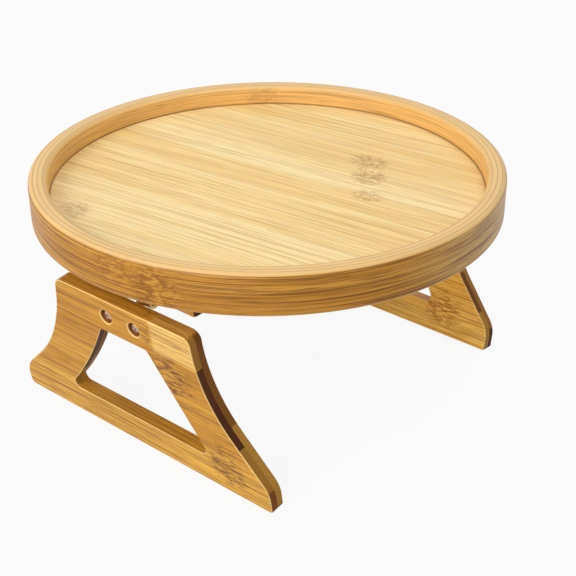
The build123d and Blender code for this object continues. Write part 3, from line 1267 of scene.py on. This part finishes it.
def close_mesh(piece: bpy.types.Object, gap: float, slivers: bool) -> None:
    """Merge doubles and point the faces outwards.

    Args:
        piece: The object to close.
        gap: Points nearer than this many millimetres become one.
        slivers: Whether faces without area are taken out.
    """
    edit = bmesh.new()
    edit.from_mesh(piece.data)
    bmesh.ops.remove_doubles(edit, verts=edit.verts, dist=gap * MM)
    if slivers:
        bmesh.ops.dissolve_degenerate(edit, edges=edit.edges, dist=gap * MM)
    bmesh.ops.recalc_face_normals(edit, faces=edit.faces)
    edit.to_mesh(piece.data)
    edit.free()


def smooth_mesh(piece: bpy.types.Object, sharp_angle: float = 35.0) -> None:
    """Smooth all but the edges that bend more than the angle in degrees."""
    piece.data.shade_smooth()
    piece.data.set_sharp_from_angle(angle=radians(sharp_angle))


def tidy_mesh(piece: bpy.types.Object, sharp_angle: float = 35.0) -> None:
    """Close a mesh and smooth all but the edges that bend more than the angle in degrees."""
    close_mesh(piece, 0.002, slivers=False)
    smooth_mesh(piece, sharp_angle)


def lathe(name: str, section: list[tuple[float, float]], steps: int = 40) -> bpy.types.Object:
    """Turn a section round the Z axis.

    Args:
        name: The object's name.
        section: Pairs of radius and height, from the axis or as a closed ring.
        steps: How many faces go round.

    Returns:
        The closed body.
    """
    on_axis = section[0][0] == 0.0
    points: list[Point] = []
    for step in range(steps):
        angle = FULL_TURN * step / steps
        points += [(r * cos(angle), r * sin(angle), z) for r, z in section]
    count = len(section)
    last = count - 1 if on_axis else count
    faces = []
    for step in range(steps):
        here, there = step * count, (step + 1) % steps * count
        for row in range(last):
            after = (row + 1) % count
            faces.append((here + row, there + row, there + after, here + after))
    piece = mesh_object(name, points, [], faces)
    close_mesh(piece, 0.0005, slivers=True)
    return piece


def cut(piece: bpy.types.Object, tool: bpy.types.Object, operation: str) -> None:
    """Cut one body with another, and drop the tool.

    Args:
        piece: The body that is kept.
        tool: The body to cut with.
        operation: DIFFERENCE or INTERSECT.
    """
    modifier = piece.modifiers.new("cut", "BOOLEAN")
    modifier.operation = operation
    modifier.solver = "EXACT"
    modifier.object = tool
    seen = bpy.context.evaluated_depsgraph_get()
    mesh = bpy.data.meshes.new_from_object(piece.evaluated_get(seen), depsgraph=seen)
    piece.modifiers.remove(modifier)
    piece.data = mesh
    bpy.data.objects.remove(tool)


# Fasteners, modelled upright: the head's seat at zero, the head above it


@dataclass(frozen=True)
class CrossRecess:
    """The tapered cross in a screw's head."""

    span: float
    slot: float
    depth: float
    taper: float = 0.45
    rise: float = 0.4

    def cutter(self, top: float) -> bpy.types.Object:
        """Make the body that cuts the recess.

        Args:
            top: The height of the head's face.

        Returns:
            The cutter.
        """
        wide, thin = self.span / 2, self.slot / 2
        corner = [
            (wide, -thin), (wide, thin), (thin, thin), (thin, wide), (-thin, wide), (-thin, thin),
            (-wide, thin), (-wide, -thin), (-thin, -thin), (-thin, -wide), (thin, -wide), (thin, -thin),
        ]
        flare = 1 + self.rise / self.depth * (1 - self.taper)
        levels = ((top + self.rise, flare), (top - self.depth, self.taper))
        points = [(x * share, y * share, z) for z, share in levels for x, y in corner]
        count = len(corner)
        faces = [tuple(range(count)), tuple(reversed(range(count, 2 * count)))]
        faces += [(i, i + count, (i + 1) % count + count, (i + 1) % count) for i in range(count)]
        tool = mesh_object("recess_cutter", points, [], faces)
        tidy_mesh(tool)
        return tool


@dataclass(frozen=True)
class PanScrew:
    """A round-headed machine screw with a cross recess and a threaded shank."""

    diameter: float = 3.0
    head_diameter: float = 6.2
    head_height: float = 3.2
    side_height: float = 2.0
    dome_steps: int = 7
    edge: float = 0.15
    shank: float = 8.2
    pitch: float = 0.5
    thread_depth: float = 0.24
    thread_margin: float = 0.6
    tip_height: float = 0.35
    tip_taper: float = 0.3
    recess: CrossRecess = CrossRecess(3.1, 0.62, 1.35)

    def build(self, name: str, trees: Trees, finish: bpy.types.Material) -> bpy.types.Object:
        """Make the screw.

        Args:
            name: The object's name.
            trees: The shared trees.
            finish: The screw's material.

        Returns:
            The upright screw.
        """
        reach = self.head_diameter / 2
        rise = self.head_height - self.side_height
        dome = (reach**2 + rise**2) / (2 * rise) if rise < reach else reach
        tilt = atan2(reach, dome - rise)
        root = self.diameter / 2 - self.thread_depth
        section = [(0.0, self.head_height)]
        for step in range(1, self.dome_steps + 1):
            angle = tilt * step / self.dome_steps
            section.append((dome * sin(angle), self.head_height - dome * (1 - cos(angle))))
        section += [
            (reach, self.edge), (reach - self.edge, 0.0), (root, 0.0), (root, self.tip_height - self.shank),
            (root - self.tip_taper, -self.shank), (0.0, -self.shank),
        ]
        screw = lathe(name, section)
        cut(screw, self.recess.cutter(self.head_height), "DIFFERENCE")
        length = self.shank - 2 * self.thread_margin
        trees.thread.grow(
            screw,
            Material=finish,
            Turns=length / self.pitch,
            Length=length * MM,
            Radius=root * MM,
            Ridge=self.thread_depth * MM,
            Start=(0.0, 0.0, (self.thread_margin - self.shank) * MM),
        )
        smooth_mesh(screw)
        return screw


@dataclass(frozen=True)
class SunkScrew:
    """A countersunk wood screw with a cross recess; its face is at zero and it points down."""

    diameter: float
    head_diameter: float
    length: float
    recess: CrossRecess

    def build(self, name: str) -> bpy.types.Object:
        """Make the screw.

        Args:
            name: The object's name.

        Returns:
            The upright screw.
        """
        reach, shank = self.head_diameter / 2, self.diameter / 2
        depth = reach - shank
        bevel, land, land_taper = 0.12, (-0.1, -0.16), 0.06
        section = [
            (0.0, 0.0), (reach - bevel, 0.0), (reach, land[0]), (reach - land_taper, land[1]),
            (shank, -depth), (shank, shank - self.length), (0.0, -self.length),
        ]
        screw = lathe(name, section)
        cut(screw, self.recess.cutter(0.0), "DIFFERENCE")
        tidy_mesh(screw)
        return screw


@dataclass(frozen=True)
class HexNut:
    """A hexagon nut with chamfered corners and a countersunk bore; it sits above zero."""

    across_flats: float = 5.5
    thickness: float = 2.4
    bore: float = 3.1
    flare: float = 0.25
    face_inset: float = 0.05
    overhang: float = 0.1
    chamfer_angle: float = radians(30)

    def build(self, name: str) -> bpy.types.Object:
        """Make the nut.

        Args:
            name: The object's name.

        Returns:
            The upright nut.
        """
        corner = self.across_flats / sqrt(3)
        ring = [(corner * cos(radians(60 * i)), corner * sin(radians(60 * i))) for i in range(6)]
        points = [(x, y, z) for z in (0.0, self.thickness) for x, y in ring]
        faces = [tuple(reversed(range(6))), tuple(range(6, 12))]
        faces += [(i, (i + 1) % 6, (i + 1) % 6 + 6, i + 6) for i in range(6)]
        nut = mesh_object(name, points, [], faces)
        edge, outside = self.across_flats / 2 - self.face_inset, corner + self.overhang
        drop = (outside - edge) * tan(self.chamfer_angle)
        hole, high, flare = self.bore / 2, self.thickness, self.flare
        section = [
            (hole, flare), (hole + flare, 0.0), (edge, 0.0), (outside, drop),
            (outside, high - drop), (edge, high), (hole + flare, high), (hole, high - flare),
        ]
        blank = lathe("nut_blank", section, 48)
        cut(nut, blank, "INTERSECT")
        tidy_mesh(nut, 20.0)
        return nut


# Sub-assemblies


@dataclass(frozen=True)
class HingeSizes:
    """Where the hinges are and how the legs lean, as the CAD model has them."""

    axis_x: float = 100.5802
    axis_z: float = 92.7574
    lean: float = radians(8.5)
    leaf_face: float = 2.8
    leaf_thickness: float = 1.0
    board_face: float = 3.8
    leg_thickness: float = 8.5
    screw_drop: float = 11.06
    leg_screw_spacing: float = 19.6
    counterbore_depth: float = 4.0
    leg_screw_overhang: float = 0.3
    leaf_screw_x: float = 90.0802
    leaf_screw_spacing: float = 20.0
    rail_screw_x: float = 93.9802
    rail_screw_spacing: float = 70.0
    rail_screw_sink: float = 0.6

    @property
    def rail_bottom(self) -> float:
        """The height of the rails' lower faces."""
        return self.axis_z + self.board_face

    def on_leg(self, side: Side, out: float, down: float) -> Point:
        """Find a point of a leg's middle line.

        Args:
            side: The leg's side.
            out: How far outwards it lies from the hinge axis, square to the board.
            down: How far down the board it lies.

        Returns:
            The point in millimetres.
        """
        x = self.axis_x + out * cos(self.lean) - down * sin(self.lean)
        z = self.axis_z - down * cos(self.lean) - out * sin(self.lean)
        return side.value * x, 0.0, z

    def out_of_leg(self, side: Side) -> float:
        """The turn about Y that points an upright screw out of a leg."""
        return side.value * (pi / 2 + self.lean)


@dataclass
class Dresser:
    """Hands each finished piece to its body, and reports it."""

    count: int = 0

    def hand_over(
        self, piece: bpy.types.Object, slot: Slot, body: str | None, replaces: tuple[str, ...] = ()
    ) -> None:
        """Fit a finished piece into the frame.

        Args:
            piece: The piece.
            slot: The record's material slot that it takes its finish from; not used.
            body: The body that it rides on, or None where it bends between two.
            replaces: The CAD nodes that it stands for.
        """
        if body is not None:
            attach(piece, body)
        if replaces:
            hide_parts(*replaces)
        self.count += 1
        log.info("%s: %d faces", piece.name, len(piece.data.polygons))

    def dress(self, node: str, material: bpy.types.Material) -> None:
        """Give a CAD node its finish.

        Args:
            node: The node's name.
            material: The finish.
        """
        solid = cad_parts[node]
        solid.data.materials.clear()
        solid.data.materials.append(material)
        self.count += 1
        log.info("%s: dressed with %s", node, material.name)


@dataclass
class Tray:
    """The round tray: a floor of pressed strips in a bent rim."""

    trees: Trees
    dresser: Dresser
    outer_radius: float = 125.0
    inner_radius: float = 115.0
    bottom: float = 106.5574
    height: float = 22.0
    groove_depth: float = 4.0
    groove_height: float = 4.0
    floor_bottom: float = 111.5574
    outer_top_round: float = 2.4
    inner_top_round: float = 3.0
    outer_foot_round: float = 2.0
    inner_foot_round: float = 1.0
    round_steps: int = 7
    ring_steps: int = 256
    rim_finish: BambooFinish = field(
        default_factory=lambda: BentBamboo(
            name="bent rim bamboo",
            seed=11.0,
            pale=srgb(206, 151, 58),
            honey=srgb(181, 123, 32),
            streak=srgb(158, 99, 20),
            fibre=srgb(112, 62, 8),
            mark_colour=srgb(128, 76, 14),
            strip_width=200.0,
            ply=2.5,
            strip_contrast=0.3,
            streak_length=110.0,
            streak_width=1.9,
            streak_amount=0.5,
            fibre_length=60.0,
            fibre_width=0.55,
            fibre_amount=0.85,
            mark_grain=(4.5, 1.3),
            seam_amount=0.0,
            coat=0.2,
            marks=(
                NodeMark(along=139.0, across=122.0, length=32.0, width=20.0, strength=0.75, curl=0.4),
                NodeMark(along=160.0, across=117.0, length=32.0, width=24.0, strength=1.0, curl=0.4),
                NodeMark(along=-161.0, across=121.5, length=20.0, width=22.0, strength=0.9, curl=1.1),
            ),
        )
    )
    floor_finish: BambooFinish = field(
        default_factory=lambda: PanelBamboo(
            name="pale floor bamboo",
            seed=3.0,
            pale=srgb(251, 228, 170),
            honey=srgb(242, 208, 138),
            streak=srgb(222, 178, 102),
            fibre=srgb(168, 108, 36),
            end_grain=srgb(150, 100, 50),
            strip_width=20.0,
            ply=20.0,
            strip_shift=7.0,
            strip_contrast=0.6,
            strand_width=2.0,
            strand_amount=0.5,
            streak_length=140.0,
            streak_width=2.5,
            streak_amount=0.42,
            fibre_length=75.0,
            fibre_width=0.62,
            fibre_amount=0.36,
            seam_amount=0.2,
            mark_grain=(3.4, 1.2),
            mark_colour=srgb(150, 96, 36),
            roughness=0.42,
            along=(0.1064, -0.9943, 0.0),
            across=(0.9943, 0.1064, 0.0),
            marks=(
                NodeMark(along=32.0, across=50.0, length=23.0, width=21.0, strength=0.62, curl=1.6),
                NodeMark(along=43.0, across=33.0, length=23.0, width=21.0, strength=0.7, curl=1.4),
                NodeMark(along=54.0, across=12.0, length=23.0, width=20.0, strength=0.4, curl=1.8),
                NodeMark(along=-61.0, across=-83.0, length=20.0, width=18.0, strength=0.5, curl=1.8),
            ),
        )
    )

    def section(self) -> list[tuple[float, float]]:
        """Trace the rim's section.

        Returns:
            Radius and height of each point, anticlockwise from the groove's lower corner.
        """
        top = self.bottom + self.height
        inner, outer = self.inner_radius, self.outer_radius
        points = [
            (inner + self.groove_depth, self.floor_bottom + self.groove_height),
            (inner + self.groove_depth, self.floor_bottom),
            (inner, self.floor_bottom),
        ]
        corners = (
            (inner, self.bottom, self.inner_foot_round, 1, 1, pi),
            (outer, self.bottom, self.outer_foot_round, -1, 1, 1.5 * pi),
            (outer, top, self.outer_top_round, -1, -1, 0.0),
            (inner, top, self.inner_top_round, 1, -1, 0.5 * pi),
        )
        for radius, height, bend, inwards, upwards, start in corners:
            for step in range(self.round_steps + 1):
                angle = start + pi / 2 * step / self.round_steps
                points.append(
                    (
                        radius + inwards * bend + bend * cos(angle),
                        height + upwards * bend + bend * sin(angle),
                    )
                )
        points.append((inner, self.floor_bottom + self.groove_height))
        return points

    def build_rim(self) -> None:
        """Bend the rim's section round the tray, in place of the CAD ring."""
        middle = (self.outer_radius + self.inner_radius) / 2
        ring = [(r - middle, -z, 0.0) for r, z in self.section()]
        edges = [(i, (i + 1) % len(ring)) for i in range(len(ring))]
        rim = mesh_object("rim", ring, edges, [])
        self.trees.ring.grow(
            rim, Material=self.rim_finish.material(), Radius=middle * MM, Steps=self.ring_steps
        )
        tidy_mesh(rim)
        self.dresser.hand_over(rim, Slot.RIM_BAMBOO, TRAY_BODY, ("tray_rim",))

    def build(self) -> None:
        """Make the rim and dress the floor."""
        self.build_rim()
        self.dresser.dress("tray_floor", self.floor_finish.material())


@dataclass
class Clamp:
    """One side's rail, sprung hinge and leg."""

    side: Side
    trees: Trees
    dresser: Dresser
    sizes: HingeSizes
    metals: dict[Slot, bpy.types.Material]
    rail_finish: bpy.types.Material
    leg_marks: tuple[NodeMark, ...]
    leg_blocks: tuple[ToneBlock, ...]
    tones: WoodTones
    wire_diameter: float = 1.2
    coil_radius: float = 2.15
    coil_length: float = 9.4925
    spring_turns: int = 5
    arm_length: float = 8.5
    hook_radius: float = 1.3
    hook_tip: float = 0.2
    hook_steps: int = 8
    steps_per_turn: int = 36

    def node(self, name: str) -> str:
        """Name this side's CAD node."""
        return f"{self.side.label}_{name}"

    def leg_finish(self) -> bpy.types.Material:
        """Build the leg's bamboo, laid along the board.

        Returns:
            The material.
        """
        lean = self.sizes.lean
        return BoredBamboo(
            name=f"{self.side.label} leg bamboo",
            seed=21.0 + 6.0 * self.side.value,
            pale=self.tones.pale,
            honey=self.tones.honey,
            streak=self.tones.streak,
            fibre=self.tones.fibre,
            strip_width=20.0,
            ply=4.25,
            strip_shift=9.7,
            stagger=0.45,
            strip_contrast=0.9,
            streak_length=70.0,
            streak_width=1.8,
            streak_amount=0.42,
            fibre_length=48.0,
            fibre_width=0.55,
            fibre_amount=0.7,
            # Painted shade on the edge faces, and a painted highlight, partly with wear, on the arrises.
            painted_side_shade=0.6,
            edge_highlight_and_wear=0.45,
            mark_grain=(5.5, 0.9),
            mark_share=0.9,
            mark_colour=self.tones.mark,
            roughness=0.38,
            side=self.side.value,
            origin=self.sizes.on_leg(Side.RIGHT, self.sizes.board_face, 0.0),
            across=(-sin(lean), 0.0, -cos(lean)),
            depth=(cos(lean), 0.0, -sin(lean)),
            marks=self.leg_marks,
            blocks=self.leg_blocks,
            bore_along=self.sizes.leg_screw_spacing / 2,
            bore_across=self.sizes.screw_drop,
        ).material()

    def arm(self, root: Vector, way: Vector, into: Vector) -> list[Vector]:
        """Trace one arm of the spring, from the coil to its hooked tip.

        Args:
            root: Where the arm leaves the coil.
            way: The arm's direction.
            into: The direction of the hook's tip.

        Returns:
            The arm's points.
        """
        bend = root + way * self.arm_length
        points = [root + way * self.arm_length * share for share in (0.25, 0.5, 0.75)]
        for step in range(self.hook_steps + 1):
            angle = pi / 2 * step / self.hook_steps
            points.append(bend + (way * sin(angle) + into * (1 - cos(angle))) * self.hook_radius)
        points.append(points[-1] + into * self.hook_tip)
        return points

    def wire_path(self) -> list[Vector]:
        """Trace the spring's wire on the right-hand side, from the rail's arm to the leg's.

        Returns:
            The points in millimetres.
        """
        sizes = self.sizes
        lean = sizes.lean
        turning = self.spring_turns * FULL_TURN + pi / 2 + lean
        count = ceil(turning / FULL_TURN * self.steps_per_turn)
        coil = []
        for step in range(count + 1):
            share = step / count
            angle = pi / 2 - turning * share
            coil.append(
                Vector(
                    (
                        sizes.axis_x + self.coil_radius * cos(angle),
                        self.coil_length * (share - 0.5),
                        sizes.axis_z + self.coil_radius * sin(angle),
                    )
                )
            )
        down_leg, out_of_leg = Vector((-sin(lean), 0, -cos(lean))), Vector((cos(lean), 0, -sin(lean)))
        fixed = self.arm(coil[0], Vector((-1, 0, 0)), Vector((0, 0, 1)))
        moving = self.arm(coil[-1], down_leg, out_of_leg)
        return fixed[::-1] + coil + moving

    def build_spring(self) -> None:
        """Sweep the spring's wire; it twists between the rail and the leg."""
        path = self.wire_path()
        if self.side is Side.LEFT:
            path = [Vector((-p.x, -p.y, p.z)) for p in path]
        edges = [(i, i + 1) for i in range(len(path) - 1)]
        spring = mesh_object(self.node("spring_wire"), path, edges, [])
        self.trees.sweep.grow(
            spring, Material=self.metals[Slot.SPRING_STEEL], Radius=self.wire_diameter / 2 * MM
        )
        tidy_mesh(spring, 50.0)
        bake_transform(spring)
        self.dresser.hand_over(spring, Slot.SPRING_STEEL, None, (self.node("spring"),))

    def build_row(
        self,
        fastener: bpy.types.Object,
        body: str,
        replaces: str,
        place: Point,
        tilt: float,
        spacing: float,
        turns: tuple[float, float],
    ) -> None:
        """Set a pair of equal fasteners.

        Args:
            fastener: The upright fastener, which becomes the row.
            body: The body that the pair rides on.
            replaces: The CAD node that the pair stands for.
            place: The middle of the pair, in millimetres.
            tilt: The turn about Y that points a fastener the right way.
            spacing: The pair's spacing along Y.
            turns: How far the first is turned in degrees, and how much further the second.
        """
        self.trees.row.grow(
            fastener,
            Material=self.metals[Slot.FASTENER_STEEL],
            Count=2,
            Spacing=spacing * MM,
            First_Turn=radians(turns[0]),
            Turn_Step=radians(turns[1]),
            Tilt=(0.0, tilt, 0.0),
            Place=tuple(Vector(place) * MM),
        )
        self.dresser.hand_over(fastener, Slot.FASTENER_STEEL, body, (replaces,))

    def build_fasteners(self) -> None:
        """Make the screws and nuts of this side."""
        sizes, side = self.sizes, self.side
        leg_back = sizes.board_face + sizes.leg_thickness - sizes.counterbore_depth
        steel = self.metals[Slot.FASTENER_STEEL]
        screw = PanScrew(shank=leg_back - sizes.leaf_face + HexNut.thickness + sizes.leg_screw_overhang)
        self.build_row(
            screw.build(self.node("pan_screws"), self.trees, steel),
            side.clamp,
            self.node("leg_screws"),
            sizes.on_leg(side, leg_back, sizes.screw_drop),
            sizes.out_of_leg(side),
            sizes.leg_screw_spacing,
            (24.0, 41.0),
        )
        self.build_row(
            HexNut().build(self.node("hex_nuts")),
            side.clamp,
            self.node("leg_nuts"),
            sizes.on_leg(side, sizes.leaf_face, sizes.screw_drop),
            sizes.out_of_leg(side) + pi,
            sizes.leg_screw_spacing,
            (11.0, 23.0),
        )
        rail_screw = SunkScrew(3.5, 7.0, 19.0, CrossRecess(3.6, 0.75, 1.7))
        self.build_row(
            rail_screw.build(self.node("wood_screws")),
            TRAY_BODY,
            self.node("rail_screws"),
            (side.value * sizes.rail_screw_x, 0.0, sizes.rail_bottom + sizes.rail_screw_sink),
            pi,
            sizes.rail_screw_spacing,
            (15.0, 52.0),
        )
        leaf_screw = SunkScrew(2.6, 4.6, 11.0, CrossRecess(2.4, 0.5, 1.1))
        self.build_row(
            leaf_screw.build(self.node("leaf_screws")),
            TRAY_BODY,
            self.node("fixed_leaf_screws"),
            (side.value * sizes.leaf_screw_x, 0.0, sizes.rail_bottom - sizes.leaf_thickness),
            pi,
            sizes.leaf_screw_spacing,
            (38.0, 29.0),
        )

    def build(self) -> None:
        """Dress the CAD nodes of this side and make its spring and fasteners."""
        self.dresser.dress(self.node("rail"), self.rail_finish)
        self.dresser.dress(self.node("leg"), self.leg_finish())
        for name in ("fixed_leaf", "moving_leaf", "hinge_pin"):
            self.dresser.dress(self.node(name), self.metals[Slot.HINGE_STEEL])
        self.build_spring()
        self.build_fasteners()


# The studio


@dataclass(frozen=True)
class SoftBox:
    """A square lamp that gives soft shadows; its lengths are in metres and its power in watts."""

    place: Point
    aim: Point
    size: float
    power: float

    def build(self, name: str) -> None:
        """Hang the lamp.

        Args:
            name: The lamp's name.
        """
        light = bpy.data.lights.new(name, "AREA")
        light.shape = "SQUARE"
        light.size = self.size
        light.energy = self.power
        lamp = bpy.data.objects.new(name, light)
        lamp.location = self.place
        way = Vector(self.aim) - Vector(self.place)
        lamp.rotation_euler = way.to_track_quat("-Z", "Y").to_euler()
        bpy.context.scene.collection.objects.link(lamp)


@dataclass(frozen=True)
class Studio:
    """The camera, the lamps and the pale ground, in metres and radians."""

    camera_place: Point = (-0.439205, -0.387192, 0.380327)
    heading: float = radians(40.4 - 90.0)
    pitch: float = radians(90.0 - 29.306)
    roll: float = radians(-0.382)
    lens: float = 75.0
    sensor: float = 36.0
    clip_start: float = 0.01
    ground_half: float = 6.0
    ground_drop: float = 0.0003
    ground_colour: Colour = (0.6, 0.6, 0.6, 1.0)
    ground_glow: float = 0.92
    air_strength: float = 0.5
    lamps: tuple[SoftBox, ...] = (
        SoftBox((-1.25, 0.25, 0.95), (0.0, 0.0, 0.1), 0.9, 12.0),
        SoftBox((0.3, -0.2, 1.5), (0.0, 0.0, 0.1), 1.1, 7.0),
        SoftBox((-1.3, -0.5, 0.2), (0.05, 0.0, 0.05), 0.5, 6.2),
    )

    def build_camera(self) -> None:
        """Set the camera where the tray is seen from."""
        data = bpy.data.cameras.new("camera")
        data.lens = self.lens
        data.sensor_width = self.sensor
        data.sensor_fit = "AUTO"
        data.clip_start = self.clip_start
        camera = bpy.data.objects.new("camera", data)
        turn = (
            Matrix.Rotation(self.heading, 4, "Z")
            @ Matrix.Rotation(self.pitch, 4, "X")
            @ Matrix.Rotation(self.roll, 4, "Z")
        )
        camera.matrix_world = Matrix.Translation(self.camera_place) @ turn
        bpy.context.scene.collection.objects.link(camera)
        bpy.context.scene.camera = camera

    def build_ground(self) -> None:
        """Lay the pale ground, which looks nearly white but keeps the shadow."""
        half, level = self.ground_half / MM, -self.ground_drop / MM
        corners = [(-half, -half, level), (half, -half, level), (half, half, level), (-half, half, level)]
        ground = mesh_object("ground", corners, [], [(0, 1, 2, 3)])
        material, graph, shader = new_material("pale ground")
        shader.inputs["Base Color"].default_value = self.ground_colour
        shader.inputs["Roughness"].default_value = 0.9
        glow = graph.add("ShaderNodeEmission")
        ray = graph.add("ShaderNodeLightPath")
        seen = graph.math("MAXIMUM", ray.outputs["Is Camera Ray"], ray.outputs["Is Glossy Ray"])
        mix = graph.add("ShaderNodeMixShader")
        graph.feed(mix.inputs[0], graph.math("MULTIPLY", seen, self.ground_glow))
        graph.feed(mix.inputs[1], shader.outputs[0])
        graph.feed(mix.inputs[2], glow.outputs[0])
        output = next(n for n in material.node_tree.nodes if n.type == "OUTPUT_MATERIAL")
        graph.feed(output.inputs["Surface"], mix.outputs[0])
        ground.data.materials.append(material)

    def build_air(self) -> None:
        """Light the scene evenly from all round; the backdrop is white to the eye."""
        world = bpy.data.worlds.new("air")
        world.use_nodes = True
        graph = Graph(world.node_tree)
        background = world.node_tree.nodes["Background"]
        background.inputs["Color"].default_value = (1.0, 1.0, 1.0, 1.0)
        ray = graph.add("ShaderNodeLightPath")
        seen = graph.math("MAXIMUM", ray.outputs["Is Camera Ray"], ray.outputs["Is Glossy Ray"])
        strength = graph.math("MULTIPLY_ADD", seen, 1.0 - self.air_strength, self.air_strength)
        graph.feed(background.inputs["Strength"], strength)
        bpy.context.scene.world = world

    def build(self) -> None:
        """Set up the camera, the ground, the air and the lamps."""
        self.build_camera()
        self.build_ground()
        self.build_air()
        for number, lamp in enumerate(self.lamps):
            lamp.build(f"lamp_{number + 1}")
        bpy.context.scene.view_settings.view_transform = "Standard"


def make_metals() -> dict[Slot, bpy.types.Material]:
    """Build the three metal finishes.

    Returns:
        Each finish by its slot.
    """
    return {
        Slot.HINGE_STEEL: MetalFinish(
            "brass plated leaf", srgb(214, 178, 112), srgb(168, 130, 70), 0.36
        ).material(),
        Slot.FASTENER_STEEL: MetalFinish(
            "zinc plated screw", srgb(216, 188, 172), srgb(176, 144, 128), 0.42, mottle=1.2
        ).material(),
        Slot.SPRING_STEEL: MetalFinish(
            "oiled spring wire", srgb(150, 150, 152), srgb(96, 96, 100), 0.3, mottle=1.6
        ).material(),
    }


def make_rail_finish() -> bpy.types.Material:
    """Build the rails' bamboo.

    Returns:
        The material.
    """
    return StraightBamboo(
        name="sawn rail bamboo",
        seed=41.0,
        pale=srgb(212, 160, 84),
        honey=srgb(192, 136, 60),
        streak=srgb(164, 106, 38),
        fibre=srgb(108, 62, 16),
        end_grain=srgb(84, 48, 18),
        strip_width=20.0,
        ply=5.0,
        strip_contrast=0.5,
        streak_length=60.0,
        streak_width=2.0,
        streak_amount=0.5,
        fibre_length=18.0,
        fibre_width=0.6,
        fibre_amount=0.6,
        edge_highlight_and_wear=0.2,
        roughness=0.42,
        origin=(84.0, 0.0, 96.5574),
    ).material()


LEG_MARKS = {
    Side.LEFT: (
        NodeMark(along=-18.0, across=10.0, length=9.0, width=24.0, strength=0.7, curl=0.5),
        NodeMark(along=-31.0, across=31.0, length=34.0, width=25.0, strength=1.0, curl=0.5),
        NodeMark(along=-60.0, across=75.0, length=28.0, width=28.0, strength=1.0, curl=0.5),
    ),
    Side.RIGHT: (
        NodeMark(along=-55.0, across=76.0, length=28.0, width=28.0, strength=1.0, curl=0.5),
        NodeMark(along=40.0, across=12.0, length=14.0, width=20.0, strength=0.7, curl=0.8),
    ),
}
LEG_TONES = {
    Side.LEFT: WoodTones(
        pale=srgb(226, 173, 66),
        honey=srgb(200, 142, 36),
        streak=srgb(174, 112, 22),
        fibre=srgb(122, 68, 4),
        mark=srgb(116, 66, 8),
    ),
    # Painted light: the right leg's tones are lighter to stand in for light on its face under the tray.
    Side.RIGHT: WoodTones(
        pale=srgb(255, 208, 104),
        honey=srgb(255, 190, 76),
        streak=srgb(232, 154, 44),
        fibre=srgb(160, 88, 10),
        mark=srgb(168, 96, 20),
    ),
}
LEG_BLOCKS = {
    Side.LEFT: (ToneBlock(-5.0, 19.3, -90.0, -22.0, 0.5), ToneBlock(19.3, 39.3, -90.0, 100.0, -0.3)),
    Side.RIGHT: (ToneBlock(39.3, 59.3, -100.0, 100.0, -0.15),),
}


def main() -> None:
    """Build the tray's pieces in order and set up the studio."""
    logging.basicConfig(level=logging.INFO, format="%(message)s")
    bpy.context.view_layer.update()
    trees = Trees()
    dresser = Dresser()
    metals = make_metals()
    rail_finish = make_rail_finish()
    Tray(trees, dresser).build()
    for side in Side:
        Clamp(
            side=side,
            trees=trees,
            dresser=dresser,
            sizes=HingeSizes(),
            metals=metals,
            rail_finish=rail_finish,
            leg_marks=LEG_MARKS[side],
            leg_blocks=LEG_BLOCKS[side],
            tones=LEG_TONES[side],
        ).build()
    Studio().build()
    log.info("%d pieces are dressed", dresser.count)


if __name__ == "__main__":
    main()
